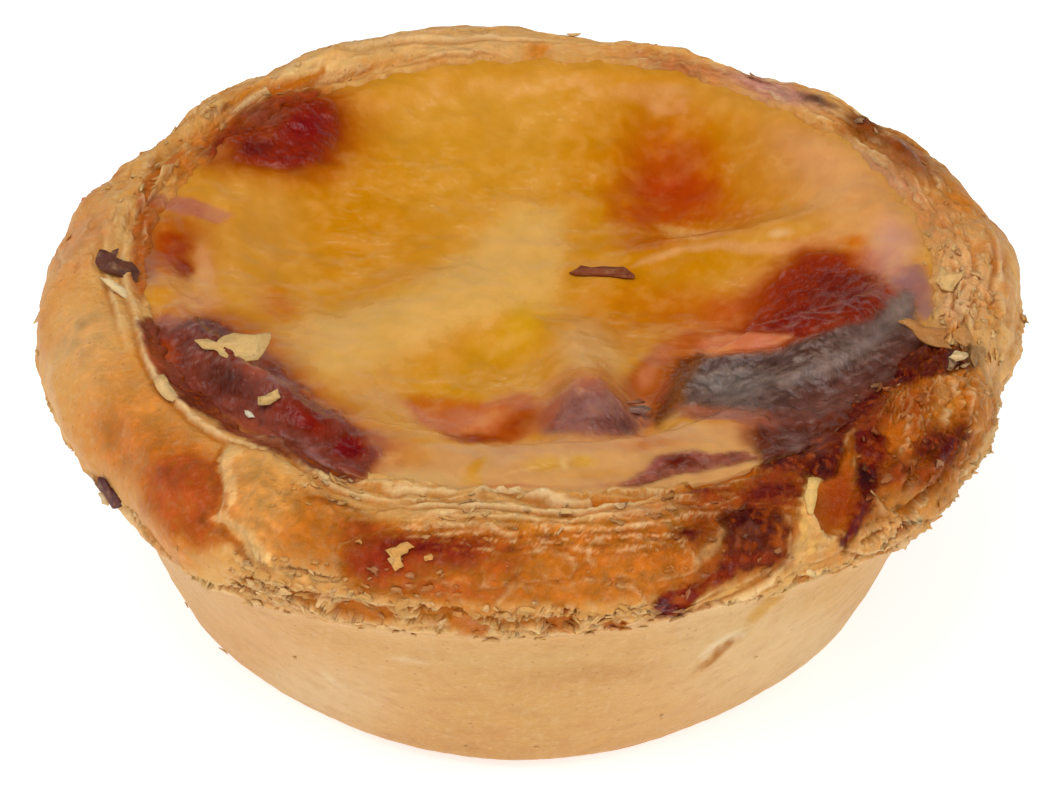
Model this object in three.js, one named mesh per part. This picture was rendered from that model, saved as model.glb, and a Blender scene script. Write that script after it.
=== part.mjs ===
// A single-serving custard tart: a cup of laminated pastry with a thick folded rim, filled with baked custard.
// Millimetres, +Z up, origin at the middle of the flat underside. The cup's irregular side faces -Y.
import * as THREE from "three";

// ---- driving sizes, mm ----
const RIM_RADIUS = 37.8; // widest part of the rim
const RIM_WIDE_Z = 23.6;
const CREST_RADIUS = 33.9;
const CREST_Z = 30.2;
const MOUTH_RADIUS = 30.3; // where pastry meets custard
const MOUTH_Z = 29.5;
const LIP_RADIUS = 36.4; // lower edge of the rolled rim
const LIP_Z = 20.9;
const WALL_TOP_RADIUS = 34.0;
const WALL_TOP_Z = 18.6;
const BASE_RADIUS = 27.2;
const BASE_ROUND_Z = 3.9;
const FOOT_RADIUS = 21.0; // flat part of the underside
const WALL = 3.3; // pastry thickness below the rim
const FLOOR = 3.4; // pastry thickness under the custard
const GAP = 0.3; // clearance between custard and pastry
const SEGMENTS = 96;

const TAU = Math.PI * 2;
const rad = THREE.MathUtils.degToRad;
const smooth = (a, b, x) => THREE.MathUtils.smoothstep(x, a, b);

// Uneven outline: amplitudes of cos and sin pairs for 1, 2, 3 ... waves round the tart.
const RIM_WAVES = [-0.1, -0.5, 0, -0.55, 0.85, -0.3, 0.25, 0.8, -0.45, 0.7, 0.2, 0.05, -0.15, 0.05];
const BASE_WAVES = [-0.3, -0.2, 0.95, 0.1, -0.1, -0.1, 0.55, -0.15];
const waves = (list, a) => {
  let s = 0;
  for (let k = 0; k < list.length; k += 2) {
    const n = k / 2 + 1;
    s += list[k] * Math.cos(n * a) + list[k + 1] * Math.sin(n * a);
  }
  return s;
};
// A smooth swelling centred on an angle, both in degrees.
const swell = (a, centre, width) => {
  const d = THREE.MathUtils.euclideanModulo(a - rad(centre) + Math.PI, TAU) - Math.PI;
  return Math.exp(-((d / rad(width)) ** 2));
};
const lipRise = (a) => 2.1 * swell(a, -62, 20) - 0.7 * swell(a, -165, 30) + 0.4 * swell(a, -115, 18) - 0.6 * swell(a, -20, 20);
const crestRise = (a) =>
  0.2 + 0.45 * swell(a, 90, 55) + 0.1 * swell(a, -90, 40) - 0.5 * swell(a, -140, 25) - 0.6 * swell(a, -55, 18) - 0.5 * swell(a, 0, 25);
const mouthShift = (a) => 0.3 + 0.9 * Math.cos(a) + 0.5 * Math.sin(a);

// The outer profile, from the middle of the underside to the mouth.
// Each row: radius, height, then how far it follows the rim's waves, the crest's rise, the base's waves, the lip's rise and the mouth's shift.
const PROFILE = [
  [0, 0, 0, 0, 0, 0, 0],
  [FOOT_RADIUS, 0, 0, 0, 0, 0, 0],
  [25.2, 0.8, 0, 0, 1, 0, 0],
  [BASE_RADIUS, BASE_ROUND_Z, 0, 0, 1, 0, 0],
  [29.5, 9.0, 0.25, 0, 0.75, 0, 0],
  [32.0, 14.2, 0.5, 0, 0.5, 0.2, 0],
  [WALL_TOP_RADIUS, WALL_TOP_Z, 0.8, 0, 0.2, 0.7, 0],
  [LIP_RADIUS, LIP_Z, 1, 0, 0, 1, 0],
  [RIM_RADIUS, RIM_WIDE_Z, 1, 0.5, 0, 0.5, 0],
  [37.6, 26.4, 1, 0.9, 0, 0, 0],
  [36.1, 28.8, 1, 1, 0, 0, 0.15],
  [CREST_RADIUS, CREST_Z - 0.2, 1, 1, 0, 0, 0.5],
  [31.9, CREST_Z, 0.9, 1, 0, 0, 0.9],
  [MOUTH_RADIUS, MOUTH_Z, 0.8, 1, 0, 0, 1],
];
const LAST = PROFILE.length - 1;
const knot = (i, a) => {
  const [r, z, rim, crest, base, lip, mouth] = PROFILE[Math.min(Math.max(i, 0), LAST)];
  return [
    r + rim * (1 - mouth) * waves(RIM_WAVES, a) + base * waves(BASE_WAVES, a) + mouth * mouthShift(a),
    z + crest * crestRise(a) + lip * lipRise(a),
  ];
};
// Point of the outer profile at station t (0 to LAST) and angle a, on a curve through the knots.
function outer(t, a) {
  const i = Math.min(Math.floor(t), LAST - 1);
  const f = t - i;
  const [p0, p1, p2, p3] = [knot(i - 1, a), knot(i, a), knot(i + 1, a), knot(i + 2, a)];
  return [0, 1].map(
    (k) =>
      0.5 *
      (2 * p1[k] + (p2[k] - p0[k]) * f + (2 * p0[k] - 5 * p1[k] + 4 * p2[k] - p3[k]) * f * f + (3 * p1[k] - p0[k] - 3 * p2[k] + p3[k]) * f ** 3),
  );
}

// Folds of the rim: from angle and station, to angle and station, half width in stations, height in mm.
const FOLDS = [
  [-126, 12.4, -119, 8.8, 0.35, 0.35], // torn edge of the outer leaf
  [-116, 11.2, -84, 10.4, 0.55, 0.55], // browned roll at the front
  [-72, 9.2, -56, 9.8, 0.5, 0.6], // scorched leaf end
  [-52, 11.2, -44, 8.8, 0.4, -1.0], // open gap between leaves
  [-44, 9.8, -26, 9.0, 0.5, 0.5],
  [-20, 11.5, 6, 10.6, 0.5, 0.4],
  [112, 12.4, 152, 11.0, 0.45, -0.7], // slanting folds at the back
  [118, 11.2, 160, 9.6, 0.5, 0.5],
  [160, 12.4, 184, 11.8, 0.4, -0.6],
  [22, 11.6, 52, 11.2, 0.5, 0.55],
  [-105, 8.2, -78, 8.1, 0.3, -0.7], // ragged hollows under the roll
];
function rimRelief(t, a) {
  const on = smooth(6.4, 7.6, t) * (1 - smooth(12.6, 13, t));
  if (!on) return 0;
  let h = 0.22 * Math.sin(11 * a + 0.8) + 0.16 * Math.sin(17 * a + 2.1 + 0.9 * t) + 0.12 * Math.sin(4.2 * t + 3 * Math.sin(2 * a));
  for (const [a0, t0, a1, t1, width, height] of FOLDS) {
    const span = a1 - a0;
    const d = THREE.MathUtils.euclideanModulo(THREE.MathUtils.radToDeg(a) - a0 + 180, 360) - 180;
    const f = THREE.MathUtils.clamp(d / span, 0, 1);
    const off = Math.hypot((d - f * span) / 9, (t - (t0 + f * (t1 - t0))) / width);
    h += height * Math.exp(-off * off);
  }
  return h * on;
}

// Custard surface: a dish with a high edge, and ridges and hollows along short lines.
const CENTRE_Z = 25.3;
const EDGE_RISE = 4.2;
// Each row: falloff in mm to the left and to the right of the line, then the line's points as x, y and height.
const CUSTARD_LINES = [
  [3.6, 3.6, [11, 24, -1.2], [11.5, 18, -1.9], [12.5, 13, -1.6]], // deep basin at the back right
  [2.8, 3.2, [5, 4.5, 0.6], [12, 8, 1.3], [20, 8, 1.1], [26, 11, 0.4]], // ridge below it
  [4.0, 4.0, [6, 2.5, -0.6], [12, 1, -0.9], [17, 0, -0.5]],
  [2.6, 4.6, [12, -12.5, 1.6], [17, -10.5, 2.7], [22, -9, 2.4], [27, -6, 1.2], [30, -2, 0.5]], // scorched ridge, steep towards the middle
  [3.0, 3.0, [26, -8, 0.7], [21, -14, 1.6], [16, -18, 1.2]],
  [3.0, 3.0, [4.5, -16, 1.6], [4.5, -13, 2.2], [4, -8, 1.0], [3, -2, 0.5]], // hump behind the front edge
  [4.0, 4.0, [-8, -10, -1.2], [-3, -9, -1.5], [-1, -14, -0.9]], // pool on its left
  [3.4, 3.4, [-28, -5, 0.5], [-24, -11.5, 1.8], [-18, -17.5, 2.6], [-13, -24, 1.6]], // roll along the left
  [5.0, 5.0, [-22, 24, 0.5], [-19, 19, 0.6]],
  [5.0, 6.0, [0, 12, 0.3], [-2, 4, 0.9], [-9, -1, 0.7], [-14, -8, 0.4]], // broad ridge through the middle
  [4.0, 4.0, [-17, 9, -0.6], [-15, 2, -0.5]],
];
// Height that a line adds at x, y. side runs from 1, square to the line's left, to -1, square to its right.
function lineHeight(x, y, left, right, pts) {
  let best = Infinity;
  let side = 0;
  let height = 0;
  for (let k = 0; k + 1 < pts.length; k++) {
    const [x0, y0, h0] = pts[k];
    const [x1, y1, h1] = pts[k + 1];
    const [dx, dy] = [x1 - x0, y1 - y0];
    const f = THREE.MathUtils.clamp(((x - x0) * dx + (y - y0) * dy) / (dx * dx + dy * dy), 0, 1);
    const [ex, ey] = [x - x0 - f * dx, y - y0 - f * dy];
    const d = Math.hypot(ex, ey);
    if (d < best) {
      best = d;
      side = (dx * ey - dy * ex) / (Math.hypot(dx, dy) * d + 1);
      height = h0 + f * (h1 - h0);
    }
  }
  const width = right + ((left - right) * (1 + side)) / 2;
  return height * Math.exp(-((best / width) ** 2));
}
function custardZ(x, y) {
  const r = Math.hypot(x, y);
  const a = Math.atan2(y, x);
  let z = CENTRE_Z + EDGE_RISE * (r / MOUTH_RADIUS) ** 2.8;
  for (const [left, right, ...pts] of CUSTARD_LINES) z += lineHeight(x, y, left, right, pts);
  // the raised skin at the front, with a steep inner side
  const ledge = smooth(20.6, 24.4, r) * smooth(46, 33, Math.abs(THREE.MathUtils.radToDeg(a) + 86));
  z += (29.7 - z) * ledge;
  return z + (MOUTH_Z + crestRise(a) - 0.3 - z) * smooth(26.5, 30, r - mouthShift(a));
}

// A lathe gives the closed surface; place(j, a) then puts point j of its profile at angle a.
function turned(points, place) {
  const g = new THREE.LatheGeometry(points, SEGMENTS);
  g.rotateX(Math.PI / 2);
  const pos = g.getAttribute("position");
  for (let k = 0; k < pos.count; k++) {
    const j = k % points.length;
    const a = ((Math.floor(k / points.length) % SEGMENTS) / SEGMENTS) * TAU - Math.PI / 2;
    pos.setXYZ(k, ...place(j, a));
  }
  g.deleteAttribute("uv");
  g.computeVertexNormals();
  return g;
}
const at = (r, a, z) => [r * Math.cos(a), r * Math.sin(a), z];

// ---- pastry cup ----
const stations = [0, 1, 1.5, 2, 2.5, 3, 4, 5, 6, 6.5];
for (let t = 7; t < 12.9; t += 0.4) stations.push(t);
stations.push(LAST);
// The cavity: radius and height, and how far it follows the mouth.
const CAVITY = [
  [MOUTH_RADIUS - 0.5, MOUTH_Z - 2.5, 1],
  [32.0 - WALL, 14.2, 0.5],
  [BASE_RADIUS - WALL + 0.9, BASE_ROUND_Z + 2.6, 0],
  [FOOT_RADIUS, FLOOR, 0],
  [0, FLOOR, 0],
];
const shellGeometry = turned(
  [...stations.map((t) => new THREE.Vector2(...outer(t, 0))), ...CAVITY.map(([r, z]) => new THREE.Vector2(r, z))],
  (j, a) => {
    if (j >= stations.length) {
      const [r, z, follow] = CAVITY[j - stations.length];
      return at(r + follow * mouthShift(a), a, z);
    }
    const t = stations[j];
    const [r, z] = outer(t, a);
    if (t <= 1) return at(r, a, 0);
    const [r0, z0] = outer(Math.max(t - 0.05, 0), a);
    const [r1, z1] = outer(Math.min(t + 0.05, LAST), a);
    const n = new THREE.Vector2(z1 - z0, r0 - r1).normalize().multiplyScalar(rimRelief(t, a));
    return at(r + n.x, a, z + n.y);
  },
);

// ---- custard filling ----
const FILL = CAVITY.slice(0, 4).map(([r, z, follow]) => [r - GAP - 0.05, z, follow]);
FILL[3] = [FOOT_RADIUS - 0.4, FLOOR + GAP, 0];
const RINGS = [0.97, 0.92, 0.87, 0.82, 0.77, 0.72, 0.66, 0.6, 0.53, 0.46, 0.38, 0.29, 0.19, 0.09, 0];
const FILL_TOP = MOUTH_RADIUS - 0.5 - GAP - 0.05;
const fillProfile = [
  [0, FLOOR + GAP],
  ...FILL.slice().reverse(),
  [FILL_TOP, MOUTH_Z - 0.4],
  ...RINGS.map((s) => [FILL_TOP * s, MOUTH_Z]),
];
const custardGeometry = turned(
  fillProfile.map(([r, z]) => new THREE.Vector2(r, z)),
  (j, a) => {
    if (j === 0) return [0, 0, FLOOR + GAP];
    if (j <= FILL.length) {
      const [r, z, follow] = FILL[FILL.length - j];
      return at(r + follow * mouthShift(a), a, z);
    }
    const s = j === FILL.length + 1 ? 1 : RINGS[j - FILL.length - 2];
    const r = (FILL_TOP + mouthShift(a)) * s;
    const [x, y] = at(r, a, 0);
    return s ? [x, y, custardZ(x, y)] : [0, 0, custardZ(0, 0)];
  },
);

const tart = new THREE.Group();
const pastry = new THREE.Mesh(shellGeometry, new THREE.MeshStandardMaterial({ color: 0xd89a4e, roughness: 0.62, metalness: 0 }));
pastry.name = "pastry_shell";
const custard = new THREE.Mesh(custardGeometry, new THREE.MeshStandardMaterial({ color: 0xd9962b, roughness: 0.3, metalness: 0 }));
custard.name = "custard";
tart.add(pastry, custard);

export default tart;
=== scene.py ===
# Looks of a single-serving custard tart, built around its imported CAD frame.
import math

import bpy
import numpy as np
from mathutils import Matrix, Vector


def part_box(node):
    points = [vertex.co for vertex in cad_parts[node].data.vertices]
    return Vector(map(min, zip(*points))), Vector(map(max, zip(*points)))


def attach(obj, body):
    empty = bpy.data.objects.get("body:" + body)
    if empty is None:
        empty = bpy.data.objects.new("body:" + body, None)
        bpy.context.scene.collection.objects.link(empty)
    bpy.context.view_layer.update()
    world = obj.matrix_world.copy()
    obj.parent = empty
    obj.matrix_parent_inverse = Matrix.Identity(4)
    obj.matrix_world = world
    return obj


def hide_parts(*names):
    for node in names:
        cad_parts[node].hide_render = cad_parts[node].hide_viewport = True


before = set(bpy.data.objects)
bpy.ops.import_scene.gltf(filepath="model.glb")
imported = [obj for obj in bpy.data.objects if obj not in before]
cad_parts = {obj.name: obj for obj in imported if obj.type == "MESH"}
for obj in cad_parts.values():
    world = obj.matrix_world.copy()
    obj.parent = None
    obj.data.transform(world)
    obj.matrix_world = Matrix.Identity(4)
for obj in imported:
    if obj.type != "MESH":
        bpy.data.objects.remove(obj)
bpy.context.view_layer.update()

LOW, HIGH = [np.array(v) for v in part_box("pastry_shell")]
MM = float(HIGH[2] - LOW[2]) / 31.292  # metres in one millimetre of the shapes below
BASE_Z = float(LOW[2])
TAU = 2 * np.pi


# ---------------------------------------------------------------- small maths
def smooth(a, b, x):
    f = np.clip((x - a) / (b - a), 0, 1)
    return f * f * (3 - 2 * f)


def mix(a, b, f):
    return a + (b - a) * f


def _hash(ix, iy, iz, seed):
    h = (ix * 73856093) ^ (iy * 19349663) ^ (iz * 83492791) ^ (seed * 668265263)
    h &= 0xFFFFFFFF
    h = ((h ^ (h >> 15)) * 0x2C1B3C6D) & 0xFFFFFFFF
    h = ((h ^ (h >> 12)) * 0x297A2D39) & 0xFFFFFFFF
    return (h ^ (h >> 15)) & 0xFFFFFFFF


_rng = np.random.RandomState(7)
_GRAD = _rng.normal(size=(256, 3))
_GRAD /= np.linalg.norm(_GRAD, axis=1)[:, None]


def noise(p, seed=0):
    """Gradient noise, about -0.5 to 0.5, of points p in any unit."""
    i = np.floor(p).astype(np.int64)
    f = p - i
    u = f * f * f * (f * (f * 6 - 15) + 10)
    out = np.zeros(len(p))
    for cx in (0, 1):
        for cy in (0, 1):
            for cz in (0, 1):
                g = _GRAD[_hash(i[:, 0] + cx, i[:, 1] + cy, i[:, 2] + cz, seed) & 255]
                d = f - np.array([cx, cy, cz])
                w = (
                    (u[:, 0] if cx else 1 - u[:, 0])
                    * (u[:, 1] if cy else 1 - u[:, 1])
                    * (u[:, 2] if cz else 1 - u[:, 2])
                )
                out += w * (g * d).sum(1)
    return out


def fbm(p, octaves=4, seed=0, gain=0.5):
    out, amp = 0, 1.0
    for k in range(octaves):
        out = out + amp * noise(p * 2.03**k + 17.3 * k, seed + k)
        amp *= gain
    return out


def cells(p, seed=0):
    """Distance to the nearest and next nearest scattered point, and a number from 0 to 1 for the nearest."""
    i = np.floor(p).astype(np.int64)
    f1 = np.full(len(p), 9.0)
    f2 = np.full(len(p), 9.0)
    ident = np.zeros(len(p))
    for cx in (-1, 0, 1):
        for cy in (-1, 0, 1):
            for cz in (-1, 0, 1):
                c = i + np.array([cx, cy, cz])
                h = _hash(c[:, 0], c[:, 1], c[:, 2], seed)
                q = c + np.stack([(h & 1023), ((h >> 10) & 1023), ((h >> 20) & 1023)], 1) / 1023.0
                d = np.linalg.norm(p - q, axis=1)
                near = d < f1
                f2 = np.where(near, f1, np.minimum(f2, d))
                ident = np.where(near, ((h >> 4) & 4095) / 4095.0, ident)
                f1 = np.where(near, d, f1)
    return f1, f2, ident


def spots(x, y, rows):
    """Sum of soft ellipses: each row is centre x, y, half widths, turn in degrees, height."""
    out = np.zeros_like(x)
    for cx, cy, rx, ry, turn, amp in rows:
        c, s = math.cos(math.radians(turn)), math.sin(math.radians(turn))
        dx, dy = x - cx, y - cy
        d = ((dx * c + dy * s) / rx) ** 2 + ((-dx * s + dy * c) / ry) ** 2
        out += amp * np.exp(-(d**1.5))
    return out


def line_field(x, y, pts):
    """Distance to a line of points, its side (1 square to the left, -1 to the right), and the points' own value along it."""
    best = np.full_like(x, 1e9)
    side = np.zeros_like(x)
    value = np.zeros_like(x)
    for (x0, y0, h0), (x1, y1, h1) in zip(pts[:-1], pts[1:]):
        dx, dy = x1 - x0, y1 - y0
        f = np.clip(((x - x0) * dx + (y - y0) * dy) / (dx * dx + dy * dy), 0, 1)
        ex, ey = x - x0 - f * dx, y - y0 - f * dy
        d = np.hypot(ex, ey)
        near = d < best
        best = np.where(near, d, best)
        side = np.where(near, (dx * ey - dy * ex) / (math.hypot(dx, dy) * d + 0.6), side)
        value = np.where(near, h0 + f * (h1 - h0), value)
    return best, side, value


def ridge(x, y, left, right, pts):
    d, side, value = line_field(x, y, pts)
    return value * np.exp(-((d / (right + (left - right) * (1 + side) / 2)) ** 2))


def inside(x, y, poly):
    """Signed distance to a closed outline, positive inside."""
    pts = np.array(poly, float)
    nxt = np.roll(pts, -1, axis=0)
    best = np.full_like(x, 1e9)
    within = np.zeros(len(x), bool)
    for (x0, y0), (x1, y1) in zip(pts, nxt):
        dx, dy = x1 - x0, y1 - y0
        f = np.clip(((x - x0) * dx + (y - y0) * dy) / (dx * dx + dy * dy), 0, 1)
        best = np.minimum(best, np.hypot(x - x0 - f * dx, y - y0 - f * dy))
        if y0 != y1:
            cross = ((y0 > y) != (y1 > y)) & (x < (x1 - x0) * (y - y0) / (y1 - y0) + x0)
            within ^= cross
    return np.where(within, best, -best)


def lin(*rgb):
    c = np.array(rgb, float) / 255
    return np.where(c <= 0.04045, c / 12.92, ((c + 0.055) / 1.055) ** 2.4)


def ramp(f, stops):
    """Colour along a ramp of (position, sRGB colour) stops."""
    xs = [s[0] for s in stops]
    cs = np.array([lin(*s[1]) for s in stops])
    return np.stack([np.interp(f, xs, cs[:, k]) for k in range(3)], 1)


# ---------------------------------------------------------------- the tart's outline
RIM_WAVES = [-0.1, -0.5, 0, -0.55, 0.85, -0.3, 0.25, 0.8, -0.45, 0.7, 0.2, 0.05, -0.15, 0.05]
BASE_WAVES = [-0.3, -0.2, 0.95, 0.1, -0.1, -0.1, 0.55, -0.15]


def waves(c, a):
    return sum(c[2 * k] * np.cos((k + 1) * a) + c[2 * k + 1] * np.sin((k + 1) * a) for k in range(len(c) // 2))


def swell(a, centre, width):
    d = (a - np.radians(centre) + np.pi) % TAU - np.pi
    return np.exp(-((d / np.radians(width)) ** 2))


def lip_rise(a):
    return 2.1 * swell(a, -62, 20) - 0.7 * swell(a, -165, 30) + 0.4 * swell(a, -115, 18) - 0.6 * swell(a, -20, 20)


def crest_rise(a):
    return (0.2 + 0.45 * swell(a, 90, 55) + 0.1 * swell(a, -90, 40) - 0.5 * swell(a, -140, 25)
            - 0.6 * swell(a, -55, 18) - 0.5 * swell(a, 0, 25))


def mouth_shift(a):
    return 0.3 + 0.9 * np.cos(a) + 0.5 * np.sin(a)


# radius, height, then how far each follows the rim's waves, the crest's rise, the base's waves, the lip's rise, the mouth's shift
PROFILE = np.array([
    [0, 0, 0, 0, 0, 0, 0], [21.0, 0, 0, 0, 0, 0, 0], [25.2, 0.8, 0, 0, 1, 0, 0], [27.2, 3.9, 0, 0, 1, 0, 0],
    [29.5, 9.0, 0.25, 0, 0.75, 0, 0], [32.0, 14.2, 0.5, 0, 0.5, 0.2, 0], [34.0, 18.6, 0.8, 0, 0.2, 0.7, 0],
    [36.4, 20.9, 1, 0, 0, 1, 0], [37.8, 23.6, 1, 0.5, 0, 0.5, 0], [37.6, 26.4, 1, 0.9, 0, 0, 0],
    [36.1, 28.8, 1, 1, 0, 0, 0.15], [33.9, 30.0, 1, 1, 0, 0, 0.5], [31.9, 30.2, 0.9, 1, 0, 0, 0.9],
    [30.3, 29.5, 0.8, 1, 0, 0, 1],
])
LAST = len(PROFILE) - 1


def outer(t, a):
    """Radius and height of the smooth outer profile at stations t and angles a."""
    rim, crest, base, lip, mouth = waves(RIM_WAVES, a), crest_rise(a), waves(BASE_WAVES, a), lip_rise(a), mouth_shift(a)
    i = np.clip(np.floor(t).astype(int), 0, LAST - 1)
    f = t - i

    def knot(k):
        p = PROFILE[np.clip(k, 0, LAST)]
        return (p[:, 0] + p[:, 2] * (1 - p[:, 6]) * rim + p[:, 4] * base + p[:, 6] * mouth,
                p[:, 1] + p[:, 3] * crest + p[:, 5] * lip)

    k0, k1, k2, k3 = knot(i - 1), knot(i), knot(i + 1), knot(i + 2)
    return tuple(
        0.5 * (2 * k1[n] + (k2[n] - k0[n]) * f + (2 * k0[n] - 5 * k1[n] + 4 * k2[n] - k3[n]) * f**2
               + (3 * k1[n] - k0[n] - 3 * k2[n] + k3[n]) * f**3)
        for n in (0, 1)
    )


def on_shell(t, a, h=0.0):
    """Points of the outer surface, raised by h along the profile's normal."""
    r, z = outer(t, a)
    r0, z0 = outer(np.maximum(t - 0.04, 0), a)
    r1, z1 = outer(np.minimum(t + 0.04, LAST), a)
    nr, nz = z1 - z0, r0 - r1
    n = np.hypot(nr, nz) + 1e-9
    r, z = r + h * nr / n, z + h * nz / n
    return np.stack([r * np.cos(a), r * np.sin(a), z], 1)


# Features at the front are laid out on a level plane at rim height, as they line up when the tart is looked at
# from the front at 35 degrees. sight() gives the place on that plane of any point.
PLANE_Z = 27.5
EYE = np.array([0, -350 * math.cos(math.radians(35)), 16 + 350 * math.sin(math.radians(35))])


def sight(p):
    k = (EYE[2] - PLANE_Z) / (EYE[2] - p[:, 2])
    q = EYE + (p - EYE) * k[:, None]
    return q[:, 0], q[:, 1]


# ---------------------------------------------------------------- custard relief
CUSTARD_LINES = [  # falloff to the left and right of a line, then its points: x, y, height
    (5.0, 3.2, [(11, 25, -1.0), (11.5, 18, -2.1), (12.5, 13.5, -1.8)]),
    (2.3, 3.0, [(4, 4, 0.3), (9, 7, 0.8), (14, 8.8, 1.15), (20, 8.6, 1.05), (26, 11, 0.3)]),
    (3.6, 3.6, [(5, 1.5, -0.5), (10, 1, -1.0), (17, -1, -0.9)]),
    (1.7, 4.6, [(11.0, -15.5, 1.0), (13.2, -12.2, 3.2), (17, -10.4, 4.2), (21, -9.2, 3.9), (25, -6.8, 2.6), (28.5, -3, 1.0), (30, 1, 0.3)]),
    (2.6, 2.6, [(26, -8, 0.8), (22, -13, 1.5), (18, -17, 1.3)]),
    (2.2, 2.2, [(15, -13.6, -0.9), (17.5, -13, -0.9)]),
    (2.6, 2.6, [(13, -6.5, -1.2), (19, -4, -1.2)]),
    (2.8, 2.6, [(5.0, -17.0, 1.7), (4.7, -13.5, 2.7), (4.0, -9, 1.6), (3, -3, 0.7)]),
    (2.6, 2.6, [(-8, -13, -0.9), (-3, -16.5, -1.5), (0, -18.5, -1.1)]),
    (1.8, 1.8, [(8.8, -11, -0.9), (9.2, -17, -1.6)]),
    (4.0, 4.0, [(-7, -8, -1.1), (-2, -6, -1.3)]),
    (2.3, 3.4, [(-28, -4, 0.6), (-25, -10, 2.1), (-19, -17.5, 2.9), (-13.5, -23.5, 2.0)]),
    (1.3, 1.3, [(-14.8, -23.0, -1.2), (-13.2, -25.2, -1.0)]),
    (4.0, 5.0, [(1, 12, 0.3), (-1, 4, 1.0), (-8, -1, 0.9), (-14, -8, 0.6)]),
    (4.0, 4.0, [(-18, 9, -0.8), (-16, 2, -0.8)]),
    (4.0, 4.0, [(-23, 24, 0.8), (-19, 18, 0.7)]),
    (1.5, 2.0, [(-30, 13.5, 0.9), (-24, 11.5, 0.4)]),
    (1.6, 1.6, [(-28.5, 7.5, -0.8), (-28, 3, -0.7)]),
]


def custard_z(x, y):
    r, a = np.hypot(x, y), np.arctan2(y, x)
    z = 25.1 + 4.3 * (r / 30.3) ** 2.6
    for left, right, pts in CUSTARD_LINES:
        z = z + ridge(x, y, left, right, pts)
    ledge = smooth(21.2, 24.3, r + 0.5 * np.sin(3 * a + 1)) * smooth(47, 33, np.abs(np.degrees(a) + 87))
    z = z + (29.6 + 0.35 * smooth(23.5, 26, r) - z) * ledge
    return z + (29.2 + crest_rise(a) - z) * smooth(26.5, 30, r - mouth_shift(a)) * (1 - 0.6 * ledge)


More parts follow.
